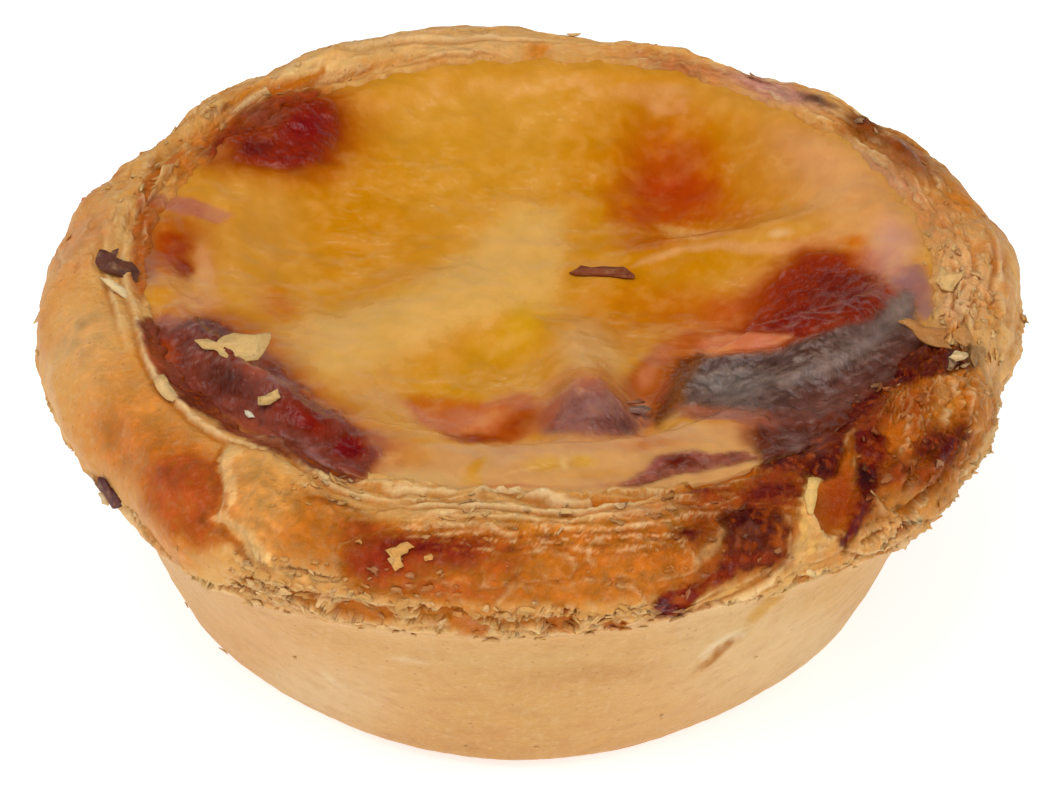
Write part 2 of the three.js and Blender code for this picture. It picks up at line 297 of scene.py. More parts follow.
# ---------------------------------------------------------------- colours, laid out on the level plane
# Each row is an sRGB colour, how strongly it covers, where, and how soft its edge is. A place is either a soft
# ellipse (centre x, y, half widths, turn in degrees) or an outline.
CUSTARD_BASE = (208, 142, 50)
CUSTARD_PAINT = [
    ((213, 152, 58), 0.7, (-3, 26, 9, 7, 0), 0), ((201, 127, 27), 0.8, (-14, 12, 5.5, 12, 5), 0), ((207, 144, 64), 0.6, (-20.5, 9, 3, 7, 0), 0),
    ((209, 144, 42), 0.6, (-5, 17, 7, 8, 0), 0), ((204, 131, 30), 0.8, (4.8, 18, 2.6, 12, 0), 0), ((197, 114, 20), 0.9, (11.5, 21.5, 5, 10, 0), 0),
    ((186, 84, 4), 0.85, (12, 18.5, 4.6, 6.0, 0), 0), ((176, 66, 0), 1.0, (11.8, 13.4, 5.0, 5.2, -10), 0), ((186, 96, 40), 0.5, (7, 14, 1.2, 1.6, 0), 0), ((180, 76, 2), 0.8, (10.5, 10.6, 4.4, 2.6, 8), 0), ((188, 92, 14), 0.7, (17, 11, 2.4, 2.6, 0), 0),
    ((199, 125, 46), 0.8, (20, 17, 3.8, 8, 10), 0), ((209, 148, 92), 0.85, (26.5, 13, 4.2, 8.5, 25), 0), ((213, 150, 98), 0.7, (24, 20, 3, 6, 35), 0),
    ((206, 142, 62), 0.6, (17, 28.5, 6, 2.6, -25), 0), ((204, 130, 30), 0.85, (11, 3.2, 7, 2.6, 8), 0), ((197, 116, 14), 0.95, (7.4, -3.2, 4.4, 5.2, 10), 0),
    ((192, 98, 28), 0.8, (12.5, -3.5, 3.4, 4.2, 0), 0),
    ((221, 171, 92), 0.85, [(2.9, 11.5), (3.1, 3.5), (2.4, 0), (1.4, -3.0), (-1.5, -4.2), (-5, -5.4), (-9, -9), (-14, -13), (-18, -10.5), (-17, -4), (-12, -2), (-8, 1),
                            (-5, 5), (-3, 9), (-1, 12)], 1.8),
    ((205, 136, 40), 0.7, [(3.2, 12), (3.3, 4.2), (2.7, 0.6), (4.2, 0.4), (6.0, 4.0), (6.2, 12)], 0.5),
    ((209, 147, 36), 1.0, (-1.6, -7.2, 2.6, 5.0, -28), 0), ((208, 142, 38), 0.95, (-5.2, -12.4, 5.4, 2.4, 12), 0), ((214, 160, 44), 0.6, (-0.4, -5, 1.4, 3, -10), 0),
    ((199, 112, 16), 0.95, (-19.2, -2.2, 1.5, 3.0, 15), 0), ((214, 156, 84), 0.7, (-17.6, -8, 2.0, 3.2, 30), 0), ((213, 152, 84), 0.8, (-11.4, -14.4, 3.4, 1.6, -38), 0),
    ((190, 98, 14), 0.85, (9.8, 6.8, 3.4, 1.7, 10), 0),
    ((217, 152, 88), 0.88, [(8.2, 3.3), (9.6, 4.7), (11.4, 5.8), (13.4, 6.6), (16, 7.0), (19, 6.6), (21, 6.6), (25, 9.6), (28.5, 13), (29.5, 9), (25, 6.2), (21.5, 4.6), (18.5, 5.0), (15, 5.5), (12, 5.1), (10, 3.9)], 0.4),
    ((208, 134, 78), 0.7, (14.4, 7.9, 2.4, 0.6, 5), 0),
    ((215, 156, 84), 0.7, (12, 8.2, 1.6, 0.8, -25), 0), ((224, 174, 122), 0.85, (20.2, 7.9, 0.9, 0.6, 30), 0),
    ((218, 164, 96), 0.85, (4.6, -8.4, 2.0, 4.2, 8), 0), ((214, 152, 92), 0.6, (-8.6, -17.6, 0.9, 2.2, 25), 0), ((194, 106, 26), 0.9, (-7.6, -15.2, 1.8, 1.0, -10), 0),
    # hollows behind the front ledge
    ((194, 102, 60), 0.92, [(-9.0, -15.0), (-7, -16.2), (-4, -15.6), (-1, -14), (0.6, -14.4), (1.4, -16.5), (0.8, -19.4), (-1, -20.7), (-5, -20.2), (-7.6, -18.6)], 0.7),
    ((152, 58, 18), 0.9, (-0.4, -17.9, 1.3, 2.8, -28), 0), ((142, 50, 14), 0.9, (-3.6, -20.0, 2.6, 0.6, -6), 0), ((196, 98, 28), 0.85, (-5.6, -15.6, 2.6, 0.8, -6), 0),
    # pinkish painted reflections in the pools
    ((206, 126, 88), 0.7, (-4.2, -17.6, 1.5, 1.2, 10), 0), ((206, 120, 84), 0.6, (-7.2, -17.8, 0.8, 1.2, 20), 0),
    ((172, 84, 36), 0.95, [(7.0, -13.6), (8.4, -10), (10.5, -7), (13.4, -5.4), (14.0, -8.2), (11.8, -11), (10.6, -15), (9.9, -18), (8.4, -19.4), (7.8, -16.4)], 0.8),
    # (204, 122, 82) and (200, 110, 70): pinkish painted reflections on the dark patch
    ((204, 122, 82), 0.75, (9.2, -12.0, 0.7, 2.0, -12), 0), ((150, 56, 12), 0.85, (10.8, -13.5, 0.7, 4.2, -22), 0), ((200, 110, 70), 0.6, (10.6, -8.8, 0.8, 1.6, -28), 0),
    # front ledge
    ((207, 150, 94), 0.95, [(-10.8, -20.2), (-6, -20.7), (-2, -21.0), (1.4, -20.6), (3.2, -19.7), (9, -19.9), (11.6, -18.2), (17, -18.4), (18, -23), (12, -27.6), (0, -28.6), (-6, -28.4), (-12, -26.5)], 0.35),
    ((203, 138, 84), 0.6, (1, -21.2, 6, 0.7, 4), 0), ((191, 112, 62), 0.75, (8.6, -20.8, 3.6, 0.9, 10), 0), ((214, 156, 100), 0.6, (13.4, -19.6, 2.4, 0.9, 10), 0),
    ((206, 142, 44), 0.9, [(-5.2, -25.8), (-4.6, -23.8), (-3.0, -22.4), (-2.6, -22.8), (-3.8, -24.6), (-3.4, -26.0)], 0.4), ((208, 150, 56), 0.85, (1.4, -23.4, 1.6, 0.8, 4), 0),
    ((208, 152, 58), 0.85, (3.9, -23.0, 0.9, 0.9, 0), 0), ((226, 182, 116), 0.8, (2.65, -23.2, 0.2, 0.9, 8), 0), ((226, 180, 112), 0.6, (0.2, -23.9, 2.4, 0.18, 22), 0),
    ((203, 132, 56), 0.7, (-8.5, -22.4, 1.8, 1.6, 0), 0), ((214, 166, 104), 0.7, (-7.6, -24.9, 3.2, 0.9, -8), 0), ((188, 106, 62), 0.75, (-1, -26.1, 3.6, 0.28, -2), 0),
    ((192, 120, 76), 0.7, (6.2, -25.8, 2.4, 0.4, 14), 0), ((204, 140, 70), 0.6, (5, -24.6, 3.4, 0.5, 4), 0),
    ((134, 70, 62), 0.97, [(6.6, -26.0), (8.6, -24.2), (9.8, -22.2), (11.6, -21.5), (13.6, -22.0), (16.2, -21.8), (17.6, -22.6), (15.6, -23.4), (12.8, -24.4), (10.0, -25.0), (8.2, -25.9)], 0.35),
    ((104, 30, 26), 0.85, (11.2, -23.0, 1.8, 0.8, 10), 0), ((150, 82, 52), 0.75, (16.8, -19.4, 1.4, 2.0, 0), 0), ((170, 98, 92), 0.6, (9.3, -23.6, 0.5, 1.2, -35), 0),
    # hump behind the ledge
    ((190, 112, 66), 0.8, [(0.2, -19.8), (0.2, -16.5), (1.6, -12.8), (3.4, -10.8), (6.0, -11), (8.0, -14), (9.4, -17.4), (9.4, -19.8)], 1.2),
    ((138, 86, 84), 0.97, [(1.3, -19.3), (1.0, -17), (2.2, -14.2), (3.5, -12.6), (5.3, -12.7), (6.7, -14.4), (7.9, -16.4), (8.9, -18.3), (8.2, -19.5), (4, -19.7)], 0.75),
    # (176, 104, 78): the hump's top painted lighter, as lit; (152, 104, 104): painted sheen
    ((176, 104, 78), 0.8, (4.5, -13.1, 1.4, 0.9, 0), 0), ((166, 80, 44), 0.75, (1.9, -16.6, 0.7, 2.4, -20), 0), ((108, 58, 56), 0.8, (6.6, -18.2, 1.8, 0.9, -15), 0), ((152, 104, 104), 0.6, (5.2, -15.8, 1.2, 0.8, 0), 0),
    # red slope and dark mound at the right
    ((190, 96, 46), 0.85, [(11.5, -8), (14.5, -3), (18, 2.5), (21.5, 6.2), (25.5, 6.6), (29, 4), (30, 0), (27, -6), (20, -9), (14, -11)], 2.6),
    ((166, 72, 36), 0.85, [(13.6, -7), (16, -2.6), (19, 2.4), (21.8, 5.4), (25, 5.4), (28.4, 2.6), (29.6, -1), (27, -6), (20, -9), (15, -9)], 1.8),
    ((170, 92, 62), 0.8, [(11, -16.5), (14, -18), (17, -19.6), (18, -24), (23, -26), (26, -20), (29, -13), (34, -11), (34, -8), (26, -8), (18, -12), (12, -13)], 1.6),
    ((134, 44, 22), 0.95, [(15.4, -5.8), (17.6, -1.8), (19.4, 2.4), (21.6, 4.8), (24.6, 4.6), (27.4, 2.4), (29, -1), (27, -5.5), (22, -7.5), (18, -8.4)], 1.5),
    ((112, 40, 38), 0.9, (24.8, -0.6, 3.2, 3.6, 20), 0), ((138, 44, 18), 0.7, (24.2, 4.4, 2.2, 1.0, 0), 0), ((112, 30, 24), 0.7, (20.2, -4.2, 2.6, 1.4, 20), 0), ((188, 88, 40), 0.85, (15.2, -3.4, 1.9, 2.4, -20), 0), ((160, 62, 30), 0.6, (17.8, -2.4, 1.8, 2.2, 10), 0),
    # pinkish painted reflection in the pool below the mound
    ((206, 116, 80), 0.85, [(12.4, -8.8), (14.6, -6.2), (17.4, -5.9), (20.4, -6.6), (18.2, -8.2), (15.2, -8.5), (13.2, -9.6)], 0.4),
    ((190, 92, 54), 0.7, (27.3, 4.6, 1.8, 1.6, 20), 0), ((176, 104, 92), 0.8, (29.3, 1.4, 1.2, 2.6, 12), 0), ((202, 104, 18), 0.95, (25.8, 6.9, 1.3, 0.9, 20), 0), ((210, 150, 126), 0.8, (28.8, 6.4, 1.9, 4.4, -8), 0), ((156, 104, 102), 0.85, [(28.4, 1.6), (29.6, 3.2), (31, 3.6), (31.6, 0), (31.6, -4), (30.4, -4.6), (29.6, -1.6)], 0.6),
    ((96, 44, 40), 0.98, [(19.4, -16.4), (24, -13.5), (26.5, -10), (29, -5.4), (31.5, -7.2), (34.6, -8.2), (34.4, -10.6), (31, -12), (27.6, -13.2), (26.4, -16), (24.2, -19), (23.2, -23), (22.2, -25.6),
                           (19.6, -25.4), (17.4, -23.4), (16.6, -19.6), (17.4, -17)], 0.6),
    ((104, 52, 26), 0.9, [(11.6, -9.6), (13.2, -8.4), (14, -10), (12.6, -13), (11.4, -16.6), (9.8, -18.6), (9.2, -17.4), (10.4, -14)], 0.6),
    ((152, 88, 70), 0.85, [(11, -15.8), (15, -15.4), (18.4, -16.4), (18.6, -18.4), (16.8, -18.2), (14, -17.2), (11.2, -17.0)], 0.5),
    # The mound's grey is partly dry grey skin and partly painted sheen.
    ((96, 72, 74), 0.97, [(11.6, -15.8), (12.4, -11.8), (13.4, -9.4), (16, -8.9), (18.4, -8.6), (21, -7.2), (24, -5.2), (26.6, -4.2), (28.0, -1.8), (29.4, 0.0), (30.2, -2.6), (29.6, -5.6), (28.4, -8.6), (27, -12),
                            (24.4, -13.8), (22, -17.0), (18.4, -17.0), (14.4, -15.9)], 0.55),
    ((106, 62, 60), 0.8, [(18, -16.6), (21.4, -13.6), (25, -10.6), (28, -6.4), (30, -4), (30.4, -7), (28.6, -11), (25.6, -13.6), (22.6, -17), (19, -18.6)], 0.9),
    # the lighter greys here and (124, 98, 98) below are painted highlights and sheen along the mound's ridge
    ((118, 102, 106), 0.85, (15.6, -12.8, 2.8, 1.9, 10), 0), ((72, 42, 42), 0.7, (20.8, -8.9, 2.8, 0.7, 25), 0), ((84, 50, 52), 0.5, (21.4, -13.8, 3.4, 0.9, 30), 0), ((132, 108, 110), 0.75, [(18.6, -12.4), (22, -10.2), (25, -7.2), (28, -3.6), (29.2, -0.4), (30, -0.8), (29.2, -4), (26.6, -7.6), (23.4, -11), (19.4, -13.6)], 0.45), ((82, 58, 62), 0.8, (17.2, -10.0, 3.0, 0.9, 6), 0), ((112, 88, 88), 0.6, (22.4, -10.8, 3.4, 0.5, 32), 0), ((108, 80, 80), 0.6, (26.4, -6.0, 2.0, 0.5, 42), 0),
    ((124, 98, 98), 0.6, (28.6, -2.2, 0.7, 1.8, 0), 0), ((74, 36, 36), 0.7, (26.8, -11.4, 1.6, 1.2, 30), 0), ((122, 76, 74), 0.6, (22.5, -15.8, 2.2, 0.7, 30), 0), ((136, 70, 60), 0.6, (18.0, -18.0, 1.4, 0.7, 10), 0),
    # (114, 78, 80): purple painted reflection
    ((114, 78, 80), 0.55, (19.6, -20.4, 1.4, 1.6, 0), 0), ((150, 90, 76), 0.75, (13.5, -17.2, 2.6, 0.5, 2), 0),
    # dark strip at the left
    ((176, 92, 52), 0.8, [(-30.5, -8), (-29, -3), (-25, -2.4), (-21.4, -3.8), (-19, -7.4), (-16.8, -11), (-14, -15), (-11, -18.2), (-8.8, -20.6), (-9.4, -23), (-12, -26), (-18, -22), (-26, -16)], 1.5),
    ((120, 56, 52), 0.98, [(-29.8, -7.4), (-28, -4.6), (-25, -3.9), (-22.4, -5.3), (-20.6, -8), (-18.4, -11), (-15.7, -15), (-12.8, -18.5), (-10.6, -20.2), (-10.6, -22.6), (-12, -25.2), (-15.6, -23.8),
                           (-18.6, -20.6), (-22, -18), (-25.6, -15.2), (-28.4, -11.5)], 0.65),
    # (160, 100, 96) and (146, 104, 106): painted grey-pink sheen on the strip
    ((168, 66, 30), 0.85, (-27.8, -8.6, 1.0, 2.6, 22), 0), ((96, 56, 60), 0.8, (-24.8, -5.4, 2.2, 0.8, -20), 0), ((160, 100, 96), 0.6, (-27.6, -4.4, 1.4, 0.9, 20), 0), ((146, 104, 106), 0.6, (-18.9, -12.3, 1.5, 0.7, -40), 0), ((74, 32, 34), 0.7, (-22.6, -12.6, 1.6, 2.6, 35), 0),
    ((124, 16, 8), 0.7, (-16.6, -17.6, 1.2, 3.0, 42), 0), ((112, 4, 0), 1.0, (-13.1, -21.2, 1.2, 1.6, 10), 0), ((160, 80, 60), 0.6, (-20.6, -10.6, 1.2, 1.6, 30), 0), ((156, 96, 94), 0.6, (-15.6, -22.0, 0.5, 2.6, 35), 0), ((176, 104, 76), 0.7, (-11.2, -20.4, 0.7, 1.2, 40), 0),
    ((168, 84, 62), 0.6, (-20.4, -18.4, 1.6, 0.5, -38), 0),
    # red and pink places at the left edge
    ((194, 112, 58), 0.7, (-27.6, 6.5, 3.6, 6.4, 5), 0),
    ((160, 56, 16), 0.92, (-28.0, 6.2, 2.0, 4.2, 5), 0), ((138, 44, 12), 0.9, (-26.9, 2.8, 0.8, 1.6, 10), 0), ((150, 92, 80), 0.8, (-29.8, 3.0, 0.9, 3.0, 5), 0), ((148, 52, 14), 0.7, (-27.2, 5.8, 0.8, 0.9, 0), 0),
    ((214, 150, 100), 0.8, (-25.2, 2.6, 0.8, 3.6, 5), 0), ((205, 132, 84), 0.7, (-25.5, -1.8, 2.0, 1.4, 0), 0),
    ((186, 112, 84), 0.95, [(-30.6, 14.0), (-27, 13.3), (-23.6, 10.8), (-24.4, 9.6), (-27.5, 10.8), (-30.4, 12)], 0.3), ((192, 106, 40), 0.8, (-27.6, 9.2, 2.0, 0.9, -15), 0),
    # scorched place at the upper left
    ((184, 98, 36), 0.85, [(-27.4, 20), (-25, 26), (-21.8, 30), (-18, 31.4), (-14, 29.6), (-12.6, 24.0), (-13.6, 18.4), (-16.4, 14.6), (-21, 15.6), (-26, 17)], 2.8),
    ((138, 48, 20), 0.97, [(-26.4, 21.5), (-24.2, 25.0), (-21.8, 28.5), (-18.5, 30.4), (-15.6, 28.6), (-14.4, 24.0), (-15.2, 19.8), (-17.4, 16.4), (-21, 17.4), (-25.4, 18.6)], 2.0),
    # (142, 84, 74): painted sheen on the scorch
    ((124, 28, 4), 0.9, (-18.4, 24.0, 2.4, 3.4, -8), 0), ((142, 84, 74), 0.7, (-21.8, 26.0, 1.6, 2.2, -25), 0), ((96, 30, 28), 0.8, (-22.2, 21.0, 2.0, 1.4, 0), 0), ((128, 36, 8), 0.8, (-19.4, 19.2, 3.0, 1.6, -5), 0), ((168, 88, 46), 0.7, (-25.4, 20.2, 1.8, 1.8, 0), 0),
    ((186, 104, 40), 0.6, (-16.6, 16.8, 1.6, 1.6, 0), 0), ((172, 108, 84), 0.7, (-18.6, 29.8, 2.6, 0.9, 10), 0),
]
CRUST_PAINT = [
    ((170, 90, 38), 0.92, [(16, -25.5), (22, -17), (24.4, -12.4), (29, -10.5), (34.6, -10), (34.6, -16), (33, -22), (30.5, -27), (26, -30.4), (22.5, -32.6), (20.5, -28)], 1.3),
    ((192, 116, 54), 0.7, (33.6, -13, 2.4, 4, 10), 0), ((196, 120, 58), 0.7, (12, -27.6, 6, 2.2, 10), 0), ((206, 134, 66), 0.5, (35, 10, 2.6, 6, 10), 0),
    ((224, 175, 113), 0.8, (-6, 37.8, 10, 2.6, 0), 0), ((205, 124, 44), 0.9, (0.8, 36.5, 1.2, 1.8, 0), 0), ((208, 130, 42), 0.85, (-8, 32, 1.8, 0.8, 10), 0), ((206, 140, 72), 0.6, (-10, 34.8, 5, 0.8, 12), 0),
    ((244, 196, 126), 0.9, (-18, 33.5, 4, 2.2, 30), 0), ((214, 128, 36), 0.9, (-23.4, 29.2, 0.7, 3.2, -38), 0), ((120, 60, 50), 0.85, (-25.4, 27.0, 1.5, 0.5, 40), 0), ((216, 152, 80), 0.7, (-29, 18, 2.4, 6, -12), 0),
    ((176, 98, 36), 0.8, (-30.2, 17, 0.5, 4.2, -6), 0), ((196, 118, 50), 0.6, (-27.8, 18.5, 0.4, 3.4, -10), 0),
    ((188, 116, 74), 0.85, (13, 33.8, 5, 1.5, -22), 0), ((150, 70, 40), 0.7, (11.8, 31.6, 1.4, 0.5, 0), 0), ((188, 132, 124), 0.9, (20.6, 30.2, 5.0, 1.5, -38), 0), ((86, 62, 66), 0.85, (24.2, 28.3, 2.2, 0.8, -36), 0),
    ((136, 62, 40), 0.9, (28, 23.6, 2.6, 2.2, -50), 0), ((92, 52, 54), 0.85, (27.6, 25.4, 1.5, 0.9, -40), 0), ((152, 86, 60), 0.9, (31.4, 18.8, 2.2, 4.4, 35), 0), ((112, 50, 40), 0.75, (30.4, 21.2, 0.9, 1.8, 40), 0),
    ((196, 114, 44), 0.75, (34.6, 13, 1.4, 3.2, 15), 0), ((190, 130, 108), 0.7, (28.4, 17.5, 1.2, 6, 36), 0), ((204, 134, 84), 0.7, (32.2, 10, 2.0, 3.4, 10), 0),
    ((232, 172, 116), 0.8, (34.2, 2, 2.4, 6, 0), 0), ((198, 116, 48), 0.8, (36.9, 4, 0.7, 4, 3), 0), ((222, 172, 124), 0.8, (33, -3, 1.5, 3, 0), 0), ((204, 122, 48), 0.7, (32.4, -5.5, 0.8, 2.0, 0), 0),
    ((88, 40, 36), 0.97, [(28, -5), (31.4, -7.2), (34.4, -7.6), (35.2, -8.8), (34.0, -10.8), (31, -12), (27.6, -13.4), (26.4, -10)], 0.5), ((66, 34, 36), 0.8, (33.6, -9.0, 1.0, 0.9, 30), 0),
    ((223, 172, 108), 0.75, (36.2, -13, 1.8, 7, 12), 0), ((206, 130, 60), 0.6, (32.4, -13.5, 1.6, 2.0, 0), 0), ((156, 74, 36), 0.85, (28.6, -16.6, 1.8, 3.0, -20), 0), ((204, 136, 66), 0.7, (31.2, -16.6, 0.8, 1.8, -10), 0),
    ((104, 44, 36), 0.95, (29.3, -21.4, 2.6, 2.6, 20), 0), ((126, 54, 36), 0.9, (25.6, -17.2, 1.3, 3.4, -18), 0), ((92, 42, 36), 0.9, (26.6, -13.2, 2.4, 1.0, 20), 0), ((208, 146, 84), 0.8, (31.4, -15.4, 0.8, 1.6, 0), 0), ((98, 42, 40), 0.9, (31.9, -19.6, 0.8, 3.0, -15), 0), ((192, 108, 46), 0.7, (27.6, -18.8, 0.6, 1.8, -10), 0), ((140, 62, 34), 0.8, (26.6, -23.4, 1.2, 1.6, 0), 0),
    ((88, 40, 38), 0.95, [(17, -22), (23.4, -21.5), (22.8, -25.0), (20.6, -25.8), (19.6, -24.6), (17.2, -25.0)], 0.35),
    ((54, 34, 38), 1.0, (24.9, -25.0, 1.2, 1.8, 0), 0), ((150, 58, 20), 0.85, (24.4, -28.6, 0.9, 3.8, -12), 0), ((118, 44, 26), 0.8, (23.6, -31.4, 0.6, 2.2, -15), 0), ((206, 138, 70), 0.8, (27.4, -28.8, 2.4, 2.0, 20), 0),
    ((146, 66, 36), 0.9, (28.2, -24.8, 2.4, 1.6, 10), 0), ((216, 158, 98), 0.85, (27, -32, 2.6, 2.0, 25), 0), ((196, 118, 56), 0.6, (30.4, -28, 0.7, 2.8, -20), 0),
    ((222, 168, 104), 0.85, (20.6, -28.6, 0.7, 4.2, -4), 0), ((206, 136, 74), 0.6, (21.6, -34.6, 3, 0.9, 10), 0),
    ((208, 153, 92), 0.9, (0, -28.4, 12, 1.9, 0), 0), ((196, 122, 52), 0.75, (1, -30.9, 10, 0.9, 0), 0), ((206, 138, 58), 0.75, (3.4, -27.2, 2.6, 0.35, 4), 0),
    ((183, 100, 34), 0.97, [(-14, -29.4), (-8, -30.8), (0, -31.2), (8, -30.6), (14, -29), (14, -35), (10, -39.4), (4, -40.4), (-4, -40.2), (-13, -38.8)], 1.2),
    ((150, 62, 20), 0.75, (-12.4, -31.2, 2.2, 1.8, 10), 0), ((146, 56, 10), 0.97, (-10.6, -35.0, 3.6, 3.2, -20), 0), ((148, 60, 12), 0.92, (-5.4, -34.0, 4.4, 1.9, -6), 0), ((120, 46, 14), 0.75, (-7.8, -33.2, 3.2, 1.1, -4), 0),
    ((172, 84, 26), 0.7, (-1.4, -35.4, 2.2, 2.2, 0), 0), ((176, 88, 30), 0.8, (-5.6, -38.4, 3.2, 1.2, -10), 0), ((196, 118, 54), 0.75, (1.0, -35.8, 1.8, 1.5, 10), 0), ((198, 122, 58), 0.6, (5.8, -37.8, 4, 1.8, 10), 0),
    ((190, 112, 48), 0.8, (1.0, -38.2, 1.6, 0.8, 0), 0),
    ((98, 38, 26), 0.92, (-14.0, -28.2, 2.4, 0.5, -30), 0), ((112, 44, 28), 0.7, (-15.4, -27.6, 0.8, 0.7, 0), 0), ((208, 158, 100), 0.75, (-13.4, -26.4, 3.0, 0.7, -28), 0),
    ((214, 152, 82), 0.97, [(-22.4, -20.6), (-20.6, -21.8), (-18.6, -23.2), (-16.4, -26.2), (-15.8, -30), (-17, -33), (-18, -36), (-19.4, -33.6), (-21.0, -31.2), (-22.4, -30.0), (-21.7, -27.4), (-22.4, -22.8)], 0.22),
    ((184, 102, 38), 0.92, (-15.8, -31.2, 3.2, 5.4, 8), 0), ((210, 146, 76), 0.7, (-18.6, -27.5, 1.8, 4.0, 12), 0), ((222, 172, 110), 0.6, (-19.6, -34.4, 1.2, 1.8, 30), 0), ((214, 160, 98), 0.7, (-16.4, -36.8, 3.6, 0.8, -14), 0),
    ((206, 129, 58), 0.8, (-28.5, -17, 4.2, 9, 25), 0), ((196, 114, 48), 0.8, (-27.6, -22.5, 3.4, 5, 20), 0), ((180, 84, 32), 0.97, (-24.6, -26.6, 3.4, 5.8, 14), 0), ((196, 110, 50), 0.7, (-30.5, -19.5, 2.4, 4, 15), 0), ((223, 163, 96), 0.85, (-33.8, -7, 2.2, 6, 12), 0),
    ((213, 141, 86), 0.75, (-35.2, 7, 2.2, 6, -12), 0), ((205, 130, 60), 0.7, (-25.4, -34, 3, 2.0, -35), 0), ((90, 42, 42), 0.9, (-31.2, -26.4, 0.6, 2.0, 28), 0),
    ((215, 162, 102), 0.8, (-13, -40.2, 6, 1.4, -18), 0), ((218, 164, 96), 0.8, (0, -43.4, 9, 1.3, 0), 0), ((206, 132, 62), 0.7, (-4, -41, 5, 0.9, -4), 0), ((210, 150, 84), 0.7, (8, -42.2, 4, 1.0, 14), 0),
    ((150, 76, 42), 0.9, [(11.5, -28.4), (15, -26.4), (20, -26.0), (19.6, -31), (19, -36), (14, -38), (10.5, -41.2), (9, -40), (12.4, -35)], 0.9),
    ((98, 50, 42), 0.98, [(13.4, -30.2), (14.3, -28.9), (15.2, -29.2), (16.0, -27.8), (17.0, -28.6), (17.7, -27.6), (18.6, -28.8), (18.3, -30.4), (18.9, -31.6), (18.4, -33), (18.7, -34.6), (17.8, -35.0),
                           (17.6, -36.2), (16.4, -35.9), (15.8, -37.0), (14.8, -36.2), (14.2, -37), (13.8, -35.2), (14.2, -33.8), (13.5, -32.6), (14.0, -31.4)], 0.2),
    # (150, 84, 66): painted pinkish highlight on the charred patch
    ((70, 36, 38), 0.7, (16.4, -30.6, 1.5, 1.7, 10), 0), ((146, 62, 36), 0.8, (16.9, -34.9, 1.2, 0.7, 15), 0), ((150, 84, 66), 0.6, (15.3, -32.6, 0.35, 1.6, -15), 0), ((180, 92, 34), 0.7, (18.0, -32.4, 0.3, 1.6, 8), 0),
    ((118, 50, 38), 0.85, (15.0, -35.0, 1.6, 1.2, 30), 0), ((126, 48, 16), 0.97, [(8.8, -40.4), (9.8, -38.8), (11.4, -38.0), (13.0, -36.8), (14.6, -36.0), (14.8, -37.2), (13.0, -38.2), (12.0, -39.8), (10.6, -41.8), (9.2, -41.6)], 0.35),
    ((78, 26, 18), 0.8, (9.7, -40.4, 0.7, 0.8, 0), 0), ((176, 84, 22), 0.8, (10.6, -39.6, 0.5, 0.5, 0), 0), ((156, 78, 44), 0.85, (13.2, -27.8, 3.6, 1.5, 12), 0), ((128, 60, 44), 0.85, (18.0, -27.0, 1.6, 1.6, 0), 0), ((196, 120, 58), 0.7, (12.6, -25.9, 2.6, 0.6, 12), 0),
    # (140, 88, 84): painted highlight on the charred patch
    ((120, 60, 48), 0.8, (11.5, -32.0, 1.0, 1.0, 0), 0), ((174, 102, 56), 0.6, (8.5, -29.6, 3, 1.2, 10), 0), ((206, 150, 96), 0.85, (12.8, -33.8, 0.5, 2.4, -25), 0), ((140, 88, 84), 0.45, (16.2, -31.0, 0.4, 1.2, 10), 0),
    ((196, 110, 44), 0.85, [(-29, 17), (-27.6, 21.5), (-25.6, 25.4), (-22.6, 29.2), (-19, 31.4), (-15, 30), (-14, 26), (-22, 17)], 1.2),
    ((146, 60, 36), 0.95, [(-26.8, 19.6), (-25.6, 23), (-23.8, 26.6), (-21, 29.4), (-18, 30.4), (-15, 29), (-15, 24), (-22, 17.6)], 0.9),
    # (136, 76, 66): painted sheen on the scorch
    ((136, 76, 66), 0.7, (-22.4, 26.2, 1.6, 2.0, -25), 0), ((104, 34, 26), 0.8, (-22.8, 21.6, 2.2, 1.5, 10), 0), ((184, 104, 44), 0.7, (-27.6, 16.8, 0.8, 3.0, -10), 0),
    ((176, 84, 40), 0.85, [(-31.2, 12.4), (-29.4, 13.6), (-28, 10), (-28.6, 2), (-29.8, -2), (-31, 2), (-31.2, 7)], 0.5), ((192, 116, 88), 0.8, [(-31.4, 14.2), (-28.4, 13.6), (-27.4, 11.6), (-30.6, 12.4)], 0.3),
    ((124, 60, 54), 0.95, [(-30.2, -4.4), (-29.2, -8), (-28.0, -11.4), (-25.8, -15.2), (-22.6, -18.8), (-19.4, -21.4), (-15.8, -24.0), (-12.4, -25.9), (-11, -23), (-18, -16), (-25, -8), (-27, -3.6)], 0.35),
    ((170, 78, 40), 0.6, (-28.4, -9.4, 0.7, 2.4, 22), 0), ((92, 44, 44), 0.7, (-24.6, -14.4, 0.8, 2.6, 42), 0), ((166, 92, 62), 0.6, (-20.4, -19.4, 1.8, 0.4, -38), 0),
    ((96, 44, 40), 0.97, [(16.4, -20), (20, -16.5), (24, -14), (27.6, -13.2), (26.4, -15.2), (24.9, -17.4), (23.6, -19.6), (23.5, -22), (22.6, -24.8), (20.8, -25.2), (19.8, -23.6), (18, -22.6), (16.4, -23)], 0.35),
    # (124, 78, 74): painted reflection on the dark patch
    ((124, 78, 74), 0.6, (21.4, -20.6, 1.0, 2.2, -20), 0), ((62, 36, 38), 0.7, (21.6, -23.6, 1.0, 1.2, 0), 0),
    ((146, 66, 24), 0.85, [(12.4, -24.8), (15.6, -23.4), (18.4, -23.6), (20.4, -25.2), (20.6, -27.4), (19.4, -29), (16.4, -28.4), (13.4, -28.6), (11.4, -26.4)], 0.6), ((178, 92, 20), 0.85, (14.6, -25.0, 1.5, 0.9, 20), 0),
